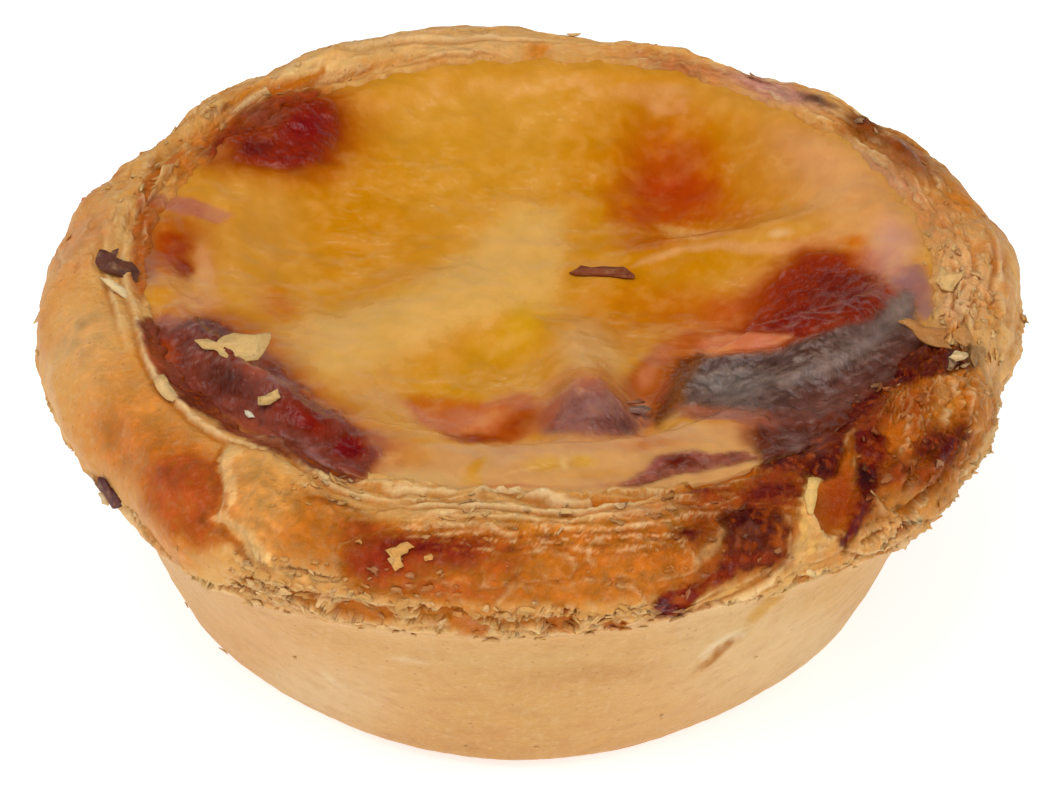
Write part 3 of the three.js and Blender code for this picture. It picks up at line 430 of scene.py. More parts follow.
    ((96, 38, 28), 0.85, (17.8, -26.6, 2.0, 1.4, 20), 0), ((104, 40, 24), 0.8, (12.6, -26.6, 1.4, 0.5, 0), 0), ((92, 36, 30), 0.8, (11.6, -32.0, 0.8, 0.9, 0), 0),
    ((104, 42, 24), 0.95, [(24.3, -19.6), (25.6, -18.4), (27.0, -20.2), (26.4, -22), (25.9, -24), (25.6, -26), (24.9, -28.5), (24.2, -30.5), (23.6, -32.5), (22.6, -34.4), (22.3, -32.6), (23.3, -30.2), (24.0, -27.4), (24.3, -24.6), (24.1, -22)], 0.3),
    ((50, 30, 34), 1.0, (24.9, -24.9, 0.9, 1.7, 0), 0), ((86, 38, 34), 0.9, (30.8, -20.8, 1.5, 2.6, -15), 0), ((196, 104, 36), 0.8, (28.0, -20.4, 0.9, 2.6, -10), 0),
    ((174, 80, 30), 0.88, [(-22.4, -23.4), (-25, -21.6), (-27.4, -24), (-27.8, -28), (-26, -32), (-23.6, -33.8), (-21.6, -32.8), (-22.9, -30.2), (-22.3, -27.4)], 1.2),
    # painted shadow along the flap's left edge, then the flap's pale edge, partly its own paler bake and partly a
    # painted highlight
    ((156, 78, 32), 0.8, [(-22.7, -21.5), (-22.3, -21.2), (-22.7, -24), (-22.2, -26), (-22.3, -27.6), (-23.1, -30.2), (-21.6, -31.5), (-20.6, -32.6), (-19.8, -34), (-19.3, -35.4), (-19.9, -35.8), (-21.0, -33.4), (-22.4, -32.0), (-23.9, -30.6), (-23.0, -27.6), (-22.9, -26), (-23.3, -24)], 0.18),
    ((232, 186, 122), 0.65, [(-22.0, -20.8), (-21.2, -21.4), (-21.6, -23.5), (-21.2, -26), (-21.1, -27.4), (-22.0, -29.5), (-20.6, -30.5), (-19.5, -32), (-18.8, -33.4), (-18.2, -35.2), (-19.1, -35.4), (-20.1, -33.2), (-21.1, -31.3), (-22.7, -30.2), (-21.9, -28.4), (-21.8, -27.4), (-22.2, -25.7), (-22.5, -22.8)], 0.15),
    ((222, 172, 106), 0.9, (19.4, -34.5, 0.6, 2.6, -8), 0), ((230, 178, 100), 0.8, [(20.5, -25.0), (21.5, -25.2), (21.1, -27.6), (20.5, -29.6), (20.3, -31.4), (20.9, -33.8), (20.1, -34.2), (19.5, -31.2), (19.9, -28.4)], 0.15),
]
CLEAR_PAINT = [((164, 72, 2), 0.95, (22.8, -27.6, 1.8, 4.4, -8), 0), ((196, 110, 20), 0.6, (23.7, -21.5, 0.8, 1.8, 0), 0)]
CRUST = [(-0.25, (246, 216, 168)), (0.0, (234, 188, 124)), (0.2, (224, 168, 98)), (0.4, (210, 142, 70)), (0.58, (190, 106, 42)), (0.72, (152, 66, 26)), (0.86, (108, 42, 28)), (1.0, (72, 38, 38))]


def place(x, y, shape, soft):
    """How far points lie in one of the places above, 0 to 1."""
    if not isinstance(shape, list):
        return spots(x, y, [(*shape, 1.0)])
    out = np.zeros_like(x)
    xs, ys = [p[0] for p in shape], [p[1] for p in shape]
    near = (x > min(xs) - soft) & (x < max(xs) + soft) & (y > min(ys) - soft) & (y < max(ys) + soft)
    if near.any():
        out[near] = smooth(-soft, soft, inside(x[near], y[near], shape))
    return out


def paint(colour, x, y, layers, keep=1.0, shade=1.0):
    for rgb, strength, shape, soft in layers:
        colour = mix(colour, lin(*rgb) * np.reshape(shade, (-1, 1)), (strength * keep * place(x, y, shape, soft))[:, None])
    return colour


def custard_looks(p):
    """Colour, with painted sheen and reflections on the dark skin, cover of pale skin and toasting of the custard's
    surface.
    """
    x, y = sight(p)
    wx = x + 0.55 * fbm(p / 2.6, 4, 31)
    wy = y + 0.55 * fbm(p / 2.6 + 9, 4, 32)
    fine, mid, broad = fbm(p / 1.1, 5, 33, 0.6), fbm(p / 2.6 + 3, 4, 35, 0.55), fbm(p / 6.0, 3, 34)
    colour = paint(np.tile(lin(*CUSTARD_BASE), (len(p), 1)), wx, wy, CUSTARD_PAINT)
    toast = smooth(0.44, 0.14, colour[:, 0])
    skin = smooth(-0.15, 0.35, 0.7 * mid + 0.3 * fine + 0.3 * broad) * (1 - toast)
    colour = colour * (1 + 0.10 * broad + 0.10 * mid + (0.05 + 0.35 * toast) * fine)[:, None]
    colour = mix(colour, lin(222, 168, 96), (0.22 * skin * smooth(0.02, 0.2, colour[:, 1]))[:, None])
    flow = smooth(0.10, 0.36, fbm(np.stack([x / 1.6 + 0.3 * y, y / 0.62, 0 * x], 1) + 0.5 * fbm(p / 3.0, 3, 37)[:, None], 4, 36, 0.6))
    colour = mix(colour, lin(230, 182, 122), (0.16 * flow * smooth(-0.05, 0.25, broad) * (1 - toast) * smooth(0.02, 0.2, colour[:, 1]))[:, None])
    # Painted sheen on the wrinkled dark skin: in the sheen places, painted shade in the streak troughs and a grey
    # painted sheen along the streak crests.
    streak = fbm(np.stack([0.5 * (0.8 * x + 0.6 * y), 1.9 * (0.8 * y - 0.6 * x), 0 * x], 1) + 0.4 * fbm(p / 2.0, 3, 38)[:, None], 4, 39, 0.65)
    sheen_places = spots(x, y, [(20.5, -10.0, 9.5, 5.5, 28, 1.0), (-24.5, -7.5, 3.0, 4.5, 20, 0.8), (5.0, -16.5, 2.6, 3.0, 0, 0.8), (12.0, -22.8, 4.5, 1.4, 12, 0.7), (-22.0, 25.5, 2.4, 3.4, -20, 0.7), (20.5, -20.0, 2.4, 3.6, 0, 0.7)])
    colour = colour * (1 - 0.35 * toast * np.clip(sheen_places, 0, 1) * smooth(0.0, -0.3, streak))[:, None]
    colour = mix(colour, lin(150, 124, 124), (0.42 * np.clip(sheen_places, 0, 1) * toast * smooth(0.08, 0.4, streak))[:, None])
    cover = np.clip(smooth(0.01, 0.14, colour[:, 2]) + 0.3 * skin, 0, 1)
    colour = colour * np.stack([1 + 0.08 * toast, 1 + 0.12 * toast, 1 - 0.12 * toast], 1)
    return np.clip(colour - [0.012, 0.013, 0.016], 0.0006, 0.95), cover, toast


# ---------------------------------------------------------------- meshes
def build(name, verts, faces, looks=None, smooth_faces=True):
    """A mesh object from millimetre points, with per-point looks stored as attributes."""
    me = bpy.data.meshes.new(name)
    v = np.asarray(verts, float) * MM
    v[:, 2] += BASE_Z
    f = np.asarray(faces, np.int32)
    n = f.shape[1]
    me.vertices.add(len(v))
    me.vertices.foreach_set("co", v.astype(np.float32).ravel())
    me.loops.add(f.size)
    me.loops.foreach_set("vertex_index", f.ravel())
    me.polygons.add(len(f))
    me.polygons.foreach_set("loop_start", np.arange(0, f.size, n, dtype=np.int32))
    me.polygons.foreach_set("use_smooth", np.full(len(f), smooth_faces))
    me.update(calc_edges=True)
    for key, val in (looks or {}).items():
        val = np.asarray(val, np.float32)
        if val.ndim == 2:
            at = me.attributes.new(key, "FLOAT_COLOR", "POINT")
            rgba = np.ones((len(v), 4), np.float32)
            rgba[:, :3] = val
            at.data.foreach_set("color", rgba.ravel())
        else:
            at = me.attributes.new(key, "FLOAT", "POINT")
            at.data.foreach_set("value", val)
    me.validate()
    o = bpy.data.objects.new(name, me)
    bpy.context.scene.collection.objects.link(o)
    return o


def ring_faces(rows, cols, first=0):
    """Quads between rings of points, the rings closed on themselves."""
    j, i = np.meshgrid(np.arange(rows - 1), np.arange(cols), indexing="ij")
    k = (i + 1) % cols
    return (first + np.stack([j * cols + i, j * cols + k, (j + 1) * cols + k, (j + 1) * cols + i], -1)).reshape(-1, 4)


def turned(name, rings, looks_of, close_start=True, close_end=True, wrap=False):
    """A closed body from rings of points (rows, cols, 3)."""
    rings = np.asarray(rings)
    rows, cols = rings.shape[:2]
    v = rings.reshape(-1, 3)
    f = [ring_faces(rows, cols)]
    i = np.arange(cols)
    if wrap:
        f.append(np.stack([(rows - 1) * cols + i, (rows - 1) * cols + (i + 1) % cols, (i + 1) % cols, i], -1))
    tri = []
    extra = []
    if close_start and not wrap:
        extra.append(rings[0].mean(0))
        c = len(v) + len(extra) - 1
        tri.append(np.stack([np.full(cols, c), (i + 1) % cols, i, i], -1))
    if close_end and not wrap:
        extra.append(rings[-1].mean(0))
        c = len(v) + len(extra) - 1
        b = (rows - 1) * cols
        tri.append(np.stack([np.full(cols, c), b + i, b + (i + 1) % cols, b + (i + 1) % cols], -1))
    if extra:
        v = np.concatenate([v, np.array(extra)])
    quads = np.concatenate(f)
    tris = [np.stack([quads[:, 0], quads[:, 1], quads[:, 2]], 1), np.stack([quads[:, 0], quads[:, 2], quads[:, 3]], 1)]
    for t in tri:
        tris.append(t[:, :3])
    return build(name, v, np.concatenate(tris), looks_of(v))


# custard
NA = 720
ang = np.arange(NA) / NA * TAU
radii = np.concatenate([np.linspace(0.004, 0.9, 98) ** 0.93, np.linspace(0.91, 1.0, 18)])
A, R = np.meshgrid(ang, radii)
edge = 30.9 + mouth_shift(A)
x, y = (R * edge * np.cos(A)).ravel(), (R * edge * np.sin(A)).ravel()
z = custard_z(x, y)
p = np.stack([x, y, z], 1)
colour, cover, toast = custard_looks(p)
warp = np.stack([fbm(p / 3.0, 3, 43), fbm(p / 3.0 + 7, 3, 44), 0 * x], 1)
q = p + 1.2 * warp
along, across = 0.68 * q[:, 0] - 0.73 * q[:, 1], 0.73 * q[:, 0] + 0.68 * q[:, 1]
crinkle = fbm(np.stack([along * 0.45, across * 1.5, 0 * x], 1), 3, 41, 0.6)
dark = smooth(0.15, 0.75, toast)
z = z + 0.22 * smooth(0.25, 0.6, toast) + 0.5 * fbm(p / 5.0, 3, 40) + 0.22 * fbm(p / 2.2, 2, 45) * (0.5 + dark) + (0.02 + 0.24 * dark) * crinkle + 0.05 * cover + 0.09 * fbm(p / 1.1, 4, 42, 0.6) * (0.3 + 1.8 * dark)
top = np.stack([x, y, z], 1).reshape(len(radii), NA, 3)
low = []
for rr, zz in ((29.6, 26.0), (28.2, 14.0), (22.0, 4.2), (10.0, 4.2)):
    rr = rr + mouth_shift(ang) * (1 if zz > 10 else 0)
    low.append(np.stack([rr * np.cos(ang), rr * np.sin(ang), np.full(NA, zz)], 1))
rings = np.concatenate([top, np.array(low)])


def custard_attr(v):
    colour, cover, toast = custard_looks(v)
    return {"tone": colour, "cover": cover, "toast": toast}


custard = turned("custard_fill", rings, custard_attr)

# pastry
FOLDS = [
    (-126, 12.4, -119, 8.8, 0.35, 0.35), (-116, 11.2, -84, 10.4, 0.55, 0.55), (-72, 9.2, -56, 9.8, 0.5, 0.6),
    (-52, 11.2, -44, 8.8, 0.4, -1.0), (-44, 9.8, -26, 9.0, 0.5, 0.5), (-20, 11.5, 6, 10.6, 0.5, 0.4),
    (112, 12.4, 152, 11.0, 0.45, -0.7), (118, 11.2, 160, 9.6, 0.5, 0.5), (160, 12.4, 184, 11.8, 0.4, -0.6),
    (22, 11.6, 52, 11.2, 0.5, 0.55),
]


def folds(t, a):
    on = smooth(6.4, 7.6, t) * (1 - smooth(12.6, 13, t))
    h = 0.22 * np.sin(11 * a + 0.8) + 0.16 * np.sin(17 * a + 2.1 + 0.9 * t) + 0.12 * np.sin(4.2 * t + 3 * np.sin(2 * a))
    for a0, t0, a1, t1, width, height in FOLDS:
        span = a1 - a0
        d = (np.degrees(a) - a0 + 180) % 360 - 180
        f = np.clip(d / span, 0, 1)
        off = np.hypot((d - f * span) / 9, (t - (t0 + f * (t1 - t0))) / width)
        h = h + height * np.exp(-off * off)
    return h * on


# Torn leaves on the rim: outline on the level plane, height, how domed, extra browning.
LEAVES = [
    ([(-22.1, -20.8), (-20.6, -21.8), (-18.6, -23.2), (-17.1, -24.5), (-15.5, -26.3), (-14.5, -27.2), (-13.7, -30.2), (-14.3, -32.6), (-13.5, -35.0),
      (-13.0, -37.0), (-14.6, -36.6), (-16.1, -35.8), (-17.7, -35.8), (-18.8, -35.2), (-19.5, -33.4), (-20.2, -32.0), (-21.1, -31.0), (-22.5, -30.0),
      (-21.9, -28.6), (-21.7, -27.4), (-22.1, -25.7), (-22.5, -22.8)], 0.62, 0.0, -0.04),
    ([(-13.6, -33.0), (-11.9, -31.8), (-9.6, -31.0), (-7.2, -32.0), (-5.2, -32.2), (-3.3, -33.4), (-1.6, -34.2), (-2.4, -35.8), (-4.0, -36.6),
      (-5.0, -36.2), (-6.4, -37.4), (-7.5, -37.8), (-8.2, -38.5), (-9.6, -38.9), (-11.0, -38.5), (-12.3, -37.4), (-13.0, -35.8), (-13.9, -34.6)], 0.25, 0.45, 0.0),
    ([(-1.6, -34.2), (0.3, -33.8), (2.2, -34.2), (3.3, -34.6), (3.6, -35.8), (3.1, -37.2), (1.4, -37.4), (1.0, -37.0), (-0.5, -36.2), (-1.2, -37.0),
      (-1.9, -38.2), (-3.3, -38.2), (-3.3, -35.4)], 0.3, 0.2, 0.02),
    ([(9.9, -38.2), (10.9, -37.8), (12.0, -38.2), (13.0, -37.0), (14.2, -36.6), (13.1, -35.0), (13.4, -33.4), (13.9, -31.0), (14.5, -29.4), (16.0, -28.2),
      (17.7, -28.2), (18.8, -29.8), (18.6, -32.2), (18.6, -34.6), (17.5, -36.2), (16.1, -37.2), (14.1, -38.2), (12.7, -38.9), (11.3, -40.5),
      (10.0, -42.0), (9.1, -41.6), (8.8, -40.9), (9.2, -39.3)], 0.3, 0.03, 0.0),
    ([(-1, -37.6), (2, -38), (4.5, -37.2), (7.5, -38), (8.5, -40), (6, -41.6), (3.5, -40.9), (0, -41.2), (-2.5, -40.3)], 0.3, 0.15, -0.05),
    ([(4.4, -33.2), (8, -32.4), (11.5, -33.6), (12.4, -36), (9, -37.4), (5.4, -36.8), (4.2, -35)], 0.28, 0.1, -0.02),
    ([(25.5, -24.5), (28.5, -22.5), (31.5, -24), (31, -28), (28, -30.5), (25.6, -29.5), (24.8, -27)], 0.35, 0.3, 0.0),
    ([(30.5, -12.5), (33.5, -12.2), (35.3, -14.5), (34.2, -18.5), (32.2, -19.5), (31.2, -16)], 0.35, 0.1, -0.05),
    ([(-36, 2), (-33.4, 6.5), (-32.6, 12), (-34.5, 15), (-37.5, 8)], 0.2, 0.0, 0.08),
]
# Hollows between leaves, where the clear fat-soaked inside shows: outline, depth.
HOLLOWS = [
    ([(21.0, -25.0), (22.5, -24.1), (23.7, -20.3), (24.1, -19.0), (24.2, -22.0), (24.2, -26.1), (23.6, -29.0), (22.5, -31.8), (21.5, -32.2), (20.6, -31.4), (20.4, -29.4)], 1.0),
    ([(0.7, -41.6), (2.6, -41.4), (4.2, -42.0), (3.0, -43.5), (1.2, -43.5)], 0.8),
    ([(5.1, -42.3), (7.2, -42.3), (6.8, -43.6), (5.4, -43.4)], 0.6),
    ([(-13.5, -39.8), (-10, -40.6), (-8.8, -42.0), (-11, -42.2), (-13.6, -41.2)], 0.5),
    ([(-5.5, -41.6), (-2.5, -42.6), (-3.0, -44.0), (-5.4, -43.2)], 0.4),
    ([(12.5, -24.4), (16.5, -23.6), (17.5, -24.8), (14, -26.2), (11.5, -26.0)], 0.5),
    ([(4.5, -27.6), (9.5, -26.6), (9.0, -27.5), (5.0, -28.4)], 0.4),
    ([(26.5, -18.5), (28.2, -17.0), (28.0, -20.5), (26.6, -22.0)], 0.5),
    ([(-27.5, 21), (-29.8, 17), (-30.4, 12.5), (-31.2, 16.5), (-29.0, 21.5)], 0.7),
    ([(-9.5, 32.6), (-7, 32.2), (-6.6, 31.2), (-9, 31.4)], 0.4),
    ([(-22, 30.5), (-17, 34.5), (-16.6, 33.8), (-21, 29.8)], 0.5),
]
# Thin leaves seen edge-on, one above the other: points of the upper edge on the level plane with its height.
EDGES = [
    [(-31.6, 10, 0.05), (-31.8, 5, 0.25), (-31.0, 0, 0.3), (-30.0, -5, 0.3), (-29.0, -9.5, 0.4), (-27.4, -13.6, 0.45), (-25.0, -17.4, 0.45), (-22.2, -20.4, 0.45), (-19.4, -22.4, 0.3)],
    [(-33.0, 9.5, 0.05), (-33.2, 4.5, 0.25), (-32.2, 0.0, 0.3), (-31.2, -5, 0.2), (-30.4, -8.6, 0.05)],
    [(-3.9, -27.9, 0.1), (-3.2, -26.9, 0.5), (-1.5, -26.8, 0.55), (0, -27.4, 0.45), (2, -27.9, 0.45), (4.2, -27.9, 0.4), (6.2, -27.6, 0.4), (8.4, -27.0, 0.1)],
    [(-10, -27.8, 0.1), (-8, -28.5, 0.4), (-5.4, -28.9, 0.45), (-2.6, -29.1, 0.4), (0, -29.3, 0.4), (4, -29.1, 0.45), (7, -28.3, 0.35), (9.6, -27.3, 0.1)],
    [(-8.6, -29.3, 0.1), (-6, -30.1, 0.3), (-3, -30.4, 0.22), (0.6, -30.5, 0.26), (4, -30.5, 0.24), (7, -29.8, 0.2), (10.4, -28.6, 0.1)],
    [(-7.2, -30.9, 0.1), (-5, -31.4, 0.4), (-2.6, -31.6, 0.35), (-1.0, -32.6, 0.3), (-0.8, -33.4, 0.1)],
    [(1.4, -31.0, 0.05), (3.0, -31.6, 0.2), (5.4, -31.9, 0.16), (8, -31.2, 0.18), (9.6, -30.4, 0.05)],
    [(-1.4, -34.6, 0.02), (0.2, -34.0, 0.16), (2.0, -34.2, 0.13), (3.2, -34.8, 0.14), (3.3, -36.2, 0.02)],
    [(-1.0, -37.9, 0.02), (-0.2, -37.4, 0.14), (1.2, -37.5, 0.14), (2.0, -38.3, 0.02)],
    [(-8.2, -37.2, 0.02), (-6.6, -37.0, 0.14), (-5.4, -37.8, 0.12), (-4.8, -37.0, 0.14), (-4.2, -37.9, 0.02)],
    [(-20.0, -20.4, 0.1), (-18.0, -21.9, 0.4), (-16.2, -24.2, 0.45), (-14.6, -26.0, 0.4), (-11.5, -27.2, 0.35), (-8.6, -27.6, 0.1)],
    [(-12.4, -24.9, 0.1), (-9.6, -26.2, 0.4), (-6.4, -27.0, 0.4), (-4.4, -27.4, 0.1)],
    [(-20.5, -35.0, 0.1), (-18.4, -37.2, 0.35), (-15.6, -38.4, 0.35), (-12.6, -39.2, 0.35), (-9.5, -40.2, 0.35), (-6.0, -40.9, 0.1)],
    [(-19.4, -38.0, 0.1), (-16.4, -39.8, 0.4), (-13.2, -41.4, 0.4), (-10, -42.6, 0.4), (-6.4, -43.6, 0.1)],
    [(-8.4, -41.6, 0.1), (-6.6, -42.0, 0.4), (-4.6, -42.0, 0.4), (-3.4, -43.0, 0.4), (-3.2, -44.0, 0.1)],
    [(-0.6, -42.0, 0.1), (0.6, -42.4, 0.5), (1.8, -43.6, 0.4), (4.2, -43.9, 0.4), (6.6, -42.8, 0.4), (8.4, -42.2, 0.1)],
    [(-3.6, -44.3, 0.1), (-1.0, -44.5, 0.4), (1.6, -44.7, 0.4), (4.2, -44.2, 0.4), (7.4, -43.4, 0.1)],
    [(18.8, -34.6, 0.1), (17.0, -37.6, 0.4), (14.0, -39.6, 0.45), (11.2, -42.2, 0.4), (9.0, -43.4, 0.1)],
    [(21.6, -33.2, 0.1), (24.0, -34.2, 0.35), (27.5, -32.6, 0.35), (30.2, -29.4, 0.1)],
    [(33.4, 6, 0.1), (33.8, 2, 0.35), (33.2, -2, 0.35), (34.4, -6, 0.1)], [(36.4, 8, 0.1), (36.9, 3, 0.35), (36.4, -3, 0.3), (36.6, -8, 0.1)],
    [(31.6, -12.6, 0.1), (31.8, -15, 0.4), (30.6, -18, 0.35), (31.2, -20.4, 0.1)], [(34.6, -12, 0.1), (35.0, -16, 0.35), (33.4, -20, 0.35), (31.8, -24, 0.1)],
    [(-28.4, 22.5, 0.1), (-29.6, 18, 0.4), (-29.9, 14.4, 0.1)], [(-25.6, 24.6, 0.1), (-22.6, 29.2, 0.4), (-18.6, 32.6, 0.4), (-14, 35.2, 0.1)],
    [(-23.6, 26.8, 0.1), (-21, 30.4, 0.35), (-17.4, 32.2, 0.1)], [(-16, 36.2, 0.1), (-10, 38.2, 0.35), (-3, 38.9, 0.3), (4, 38.4, 0.1)], [(-12, 34.2, 0.1), (-7, 35.9, 0.35), (-2, 36.0, 0.1)],
]


CHARRED = [(13.4, -30.2), (14.3, -28.9), (15.2, -29.2), (16.0, -27.8), (17.0, -28.6), (17.7, -27.6), (18.6, -28.8), (18.3, -30.4), (18.9, -31.6), (18.4, -33), (18.7, -34.6), (17.8, -35.0),
           (17.6, -36.2), (16.4, -35.9), (15.8, -37.0), (14.8, -36.2), (14.2, -37), (13.8, -35.2), (14.2, -33.8), (13.5, -32.6), (14.0, -31.4)]
BROKEN_RIGHT = [(25, -15), (28, -10.5), (34.5, -10.5), (35.5, -16), (33, -24), (28.5, -31), (23.8, -33.5), (24.8, -28), (26.2, -22)]


def strata(p, t, a, freq, seed):
    """Leaves of pastry lying on each other: height, pale upper edges with a painted highlight, and painted shade by how
    deep a point lies at the base of a leaf.
    """
    circle = np.stack([np.cos(a) * 5, np.sin(a) * 5, 0 * a], 1)
    level = t * freq + 1.8 * fbm(circle * 0.7, 3, seed) + 0.32 * fbm(p / 1.1, 4, seed + 3, 0.6)
    k = np.floor(level)
    f = level - k

    def own(n):
        return noise(np.stack([circle[:, 0] * 0.8, circle[:, 1] * 0.8, n * 3.7 + 0.5], 1), seed + 9) + 0.55 * noise(
            np.stack([circle[:, 0] * 3.5, circle[:, 1] * 3.5, n * 2.9 + 0.5], 1), seed + 10)

    here, nxt, prv = own(k), own(k + 1), own(k - 1)
    h = mix(here, nxt, smooth(0.84, 1.0, f))
    lo, hi = here - prv, nxt - here
    near_lo, near_hi = np.exp(-((f / 0.22) ** 2)), np.exp(-(((0.9 - f) / 0.22) ** 2))
    pale_lit_edge = near_lo * np.clip(lo * 2.5, 0, 1) + near_hi * np.clip(-hi * 2.5, 0, 1)
    foot_shade = near_lo * np.clip(-lo * 2.5, 0, 1) + near_hi * np.clip(hi * 2.5, 0, 1)
    return h, np.clip(pale_lit_edge, 0, 1), np.clip(foot_shade + np.clip(-h - 0.15, 0, 1) * 1.2, 0, 1)


def facing(a, t):
    """1 where a place on the rim is one that the level plane's features belong to."""
    return np.clip(smooth(1.95, 1.6, np.abs((a + np.pi / 2 + np.pi) % TAU - np.pi)) + smooth(9.4, 10.6, t), 0, 1)


def calm(deg, t):
    """How far the rim is one smooth, unbroken leaf: at the left it is, elsewhere it is torn."""
    left = smooth(-184, -172, deg) * smooth(-121, -126, deg) * smooth(7.4, 8.2, t)
    left = np.maximum(left, smooth(172, 178, deg) * smooth(7.4, 8.2, t))
    blister = smooth(-116, -108, deg) * smooth(-78, -86, deg) * smooth(8.3, 8.8, t) * smooth(10.6, 10.1, t)
    back = smooth(70, 82, deg) * smooth(112, 100, deg) * 0.6
    return np.clip(np.maximum(np.maximum(left, 0.55 * blister), back), 0, 1)


def rim_shape(t, a):
    """Height over the smooth profile, and the marks that go with it."""
    p = on_shell(t, a)
    x, y = sight(p)
    deg = np.degrees((a + np.pi) % TAU - np.pi)
    fr = facing(a, t)
    still = calm(deg, t)
    torn = 1 - still
    h_s, pale_lit_edge, foot_shade = strata(p, t, a, 2.7, 70)
    low = smooth(8.7, 7.7, t)
    face = np.exp(-((deg + 95) / 24) ** 4) * smooth(7.9, 8.5, t) * smooth(10.9, 10.2, t)
    some = smooth(-0.2, 0.25, fbm(p / 2.4, 3, 77))
    amount = torn * (0.5 + 0.35 * low + 0.3 * smooth(9.8, 10.8, t)) * (1 - smooth(12.5, 13, t)) * (1 - 0.75 * face)
    h = folds(t, a) + amount * h_s + 0.16 * fbm(p / 1.6, 4, 64) * (0.5 + 0.5 * torn) + 0.10 * torn * fbm(p / 0.6, 3, 68) + 0.55 * fbm(p / 6.5, 3, 67) * (1 - smooth(12.3, 13, t))
    pale_lit_edge, foot_shade = pale_lit_edge * amount * some, foot_shade * amount * 0.8
    wx = x + 0.28 * fbm(p / 0.9, 4, 65, 0.6)
    wy = y + 0.28 * fbm(p / 0.9 + 5, 4, 66, 0.6)
    broken = smooth(-0.25, 0.2, fbm(p / 1.7, 3, 78))
    right = place(wx, wy, BROKEN_RIGHT, 1.0) * fr
    charred = np.maximum(place(wx, wy, CHARRED, 0.6) * fr, right)
    h = h + charred * (0.34 * fbm(p / 0.9, 4, 98, 0.6) + 0.2 * fbm(p / 2.2, 3, 99))
    extra = np.zeros_like(t)
    for poly, height, dome, brown in LEAVES:
        sd = inside(wx, wy, poly)
        within = smooth(-0.06, 0.14, sd) * fr
        h = h + within * (0.75 * height + dome * smooth(0, 1.6, sd))
        # Along each leaf outline: a painted highlight on the pale inner edge and a painted shadow just outside it.
        edge = np.exp(-(((sd - 0.14) / 0.2) ** 2)) * fr * broken
        shade = np.exp(-(((sd + 0.2) / 0.2) ** 2)) * fr * broken
        pale_lit_edge = np.maximum(pale_lit_edge * (1 - 0.6 * within), 0.34 * edge)
        foot_shade = np.maximum(foot_shade * (1 - 0.6 * within), 0.45 * shade)
        extra = extra + brown * within
    ex, ey = x + 0.5 * (wx - x), y + 0.5 * (wy - y)
    for pts in EDGES:
        x0, x1 = min(q[0] for q in pts) - 1.5, max(q[0] for q in pts) + 1.5
        y0, y1 = min(q[1] for q in pts) - 1.5, max(q[1] for q in pts) + 1.5
        near = (x > x0) & (x < x1) & (y > y0) & (y < y1) & (fr > 0.5)
        if not near.any():
            continue
        d, side, value = line_field(ex[near], ey[near], pts)
        up = smooth(-0.35, 0.35, side)
        rough = 0.7 + 0.6 * broken[near] * (0.6 + 0.7 * fbm(p[near] / 0.9, 2, 79))
        reach = mix(0.16, 0.75, up)
        h[near] += 0.85 * value * rough * np.exp(-((d / reach) ** 2)) - 0.28 * value * np.exp(-(((d - 0.42) / 0.26) ** 2)) * (1 - up)
        # Pale upper edge with a painted highlight; painted shadow below the edge.
        pale_lit_edge[near] = np.maximum(pale_lit_edge[near], 2.3 * value * rough * np.exp(-((d / 0.2) ** 2)))
        foot_shade[near] = np.maximum(foot_shade[near] * (1 - np.exp(-((d / 0.25) ** 2))), 2.0 * value * np.exp(-(((d - 0.40) / 0.22) ** 2)) * (1 - up))
    clear = np.zeros_like(t)
    arc = np.stack([np.cos(a) * 35 / 3.2, np.sin(a) * 35 / 3.2, t * 2.3], 1)
    pits = fbm(arc + 0.35 * fbm(p / 0.8, 3, 74)[:, None], 3, 73, 0.5)
    zone = smooth(6.9, 7.3, t) * smooth(8.75, 8.3, t) * torn + 0.8 * smooth(9.6, 10.4, t) * smooth(12.6, 12.2, t) * torn * swell(a, -8, 24) * (1 - right) + 0.85 * right
    pit = smooth(0.17, 0.25, pits) * zone
    h = h - 0.5 * pit + 0.18 * zone * np.exp(-(((pits - 0.13) / 0.04) ** 2))
    # Pale rims of the pits, with a painted highlight.
    pale_lit_edge = np.maximum(pale_lit_edge * (1 - pit), 0.8 * zone * np.exp(-(((pits - 0.14) / 0.03) ** 2)))
    foot_shade = foot_shade * (1 - pit)
    clear = np.maximum(clear, 0.8 * pit)
    for poly, depth in HOLLOWS:
        sd = inside(wx, wy, poly)
        within = smooth(-0.08, 0.22, sd) * fr
        h = mix(h, -depth + 0 * h, within)
        clear = np.maximum(clear, within)
        # Pale lips around the hollows, with a painted highlight.
        pale_lit_edge = np.maximum(pale_lit_edge * (1 - within), 0.55 * broken * np.exp(-(((sd + 0.18) / 0.14) ** 2)) * fr)
        foot_shade = foot_shade * (1 - within)
    return h, np.clip(pale_lit_edge, 0, 1), np.clip(foot_shade, 0, 1), clear, extra, still


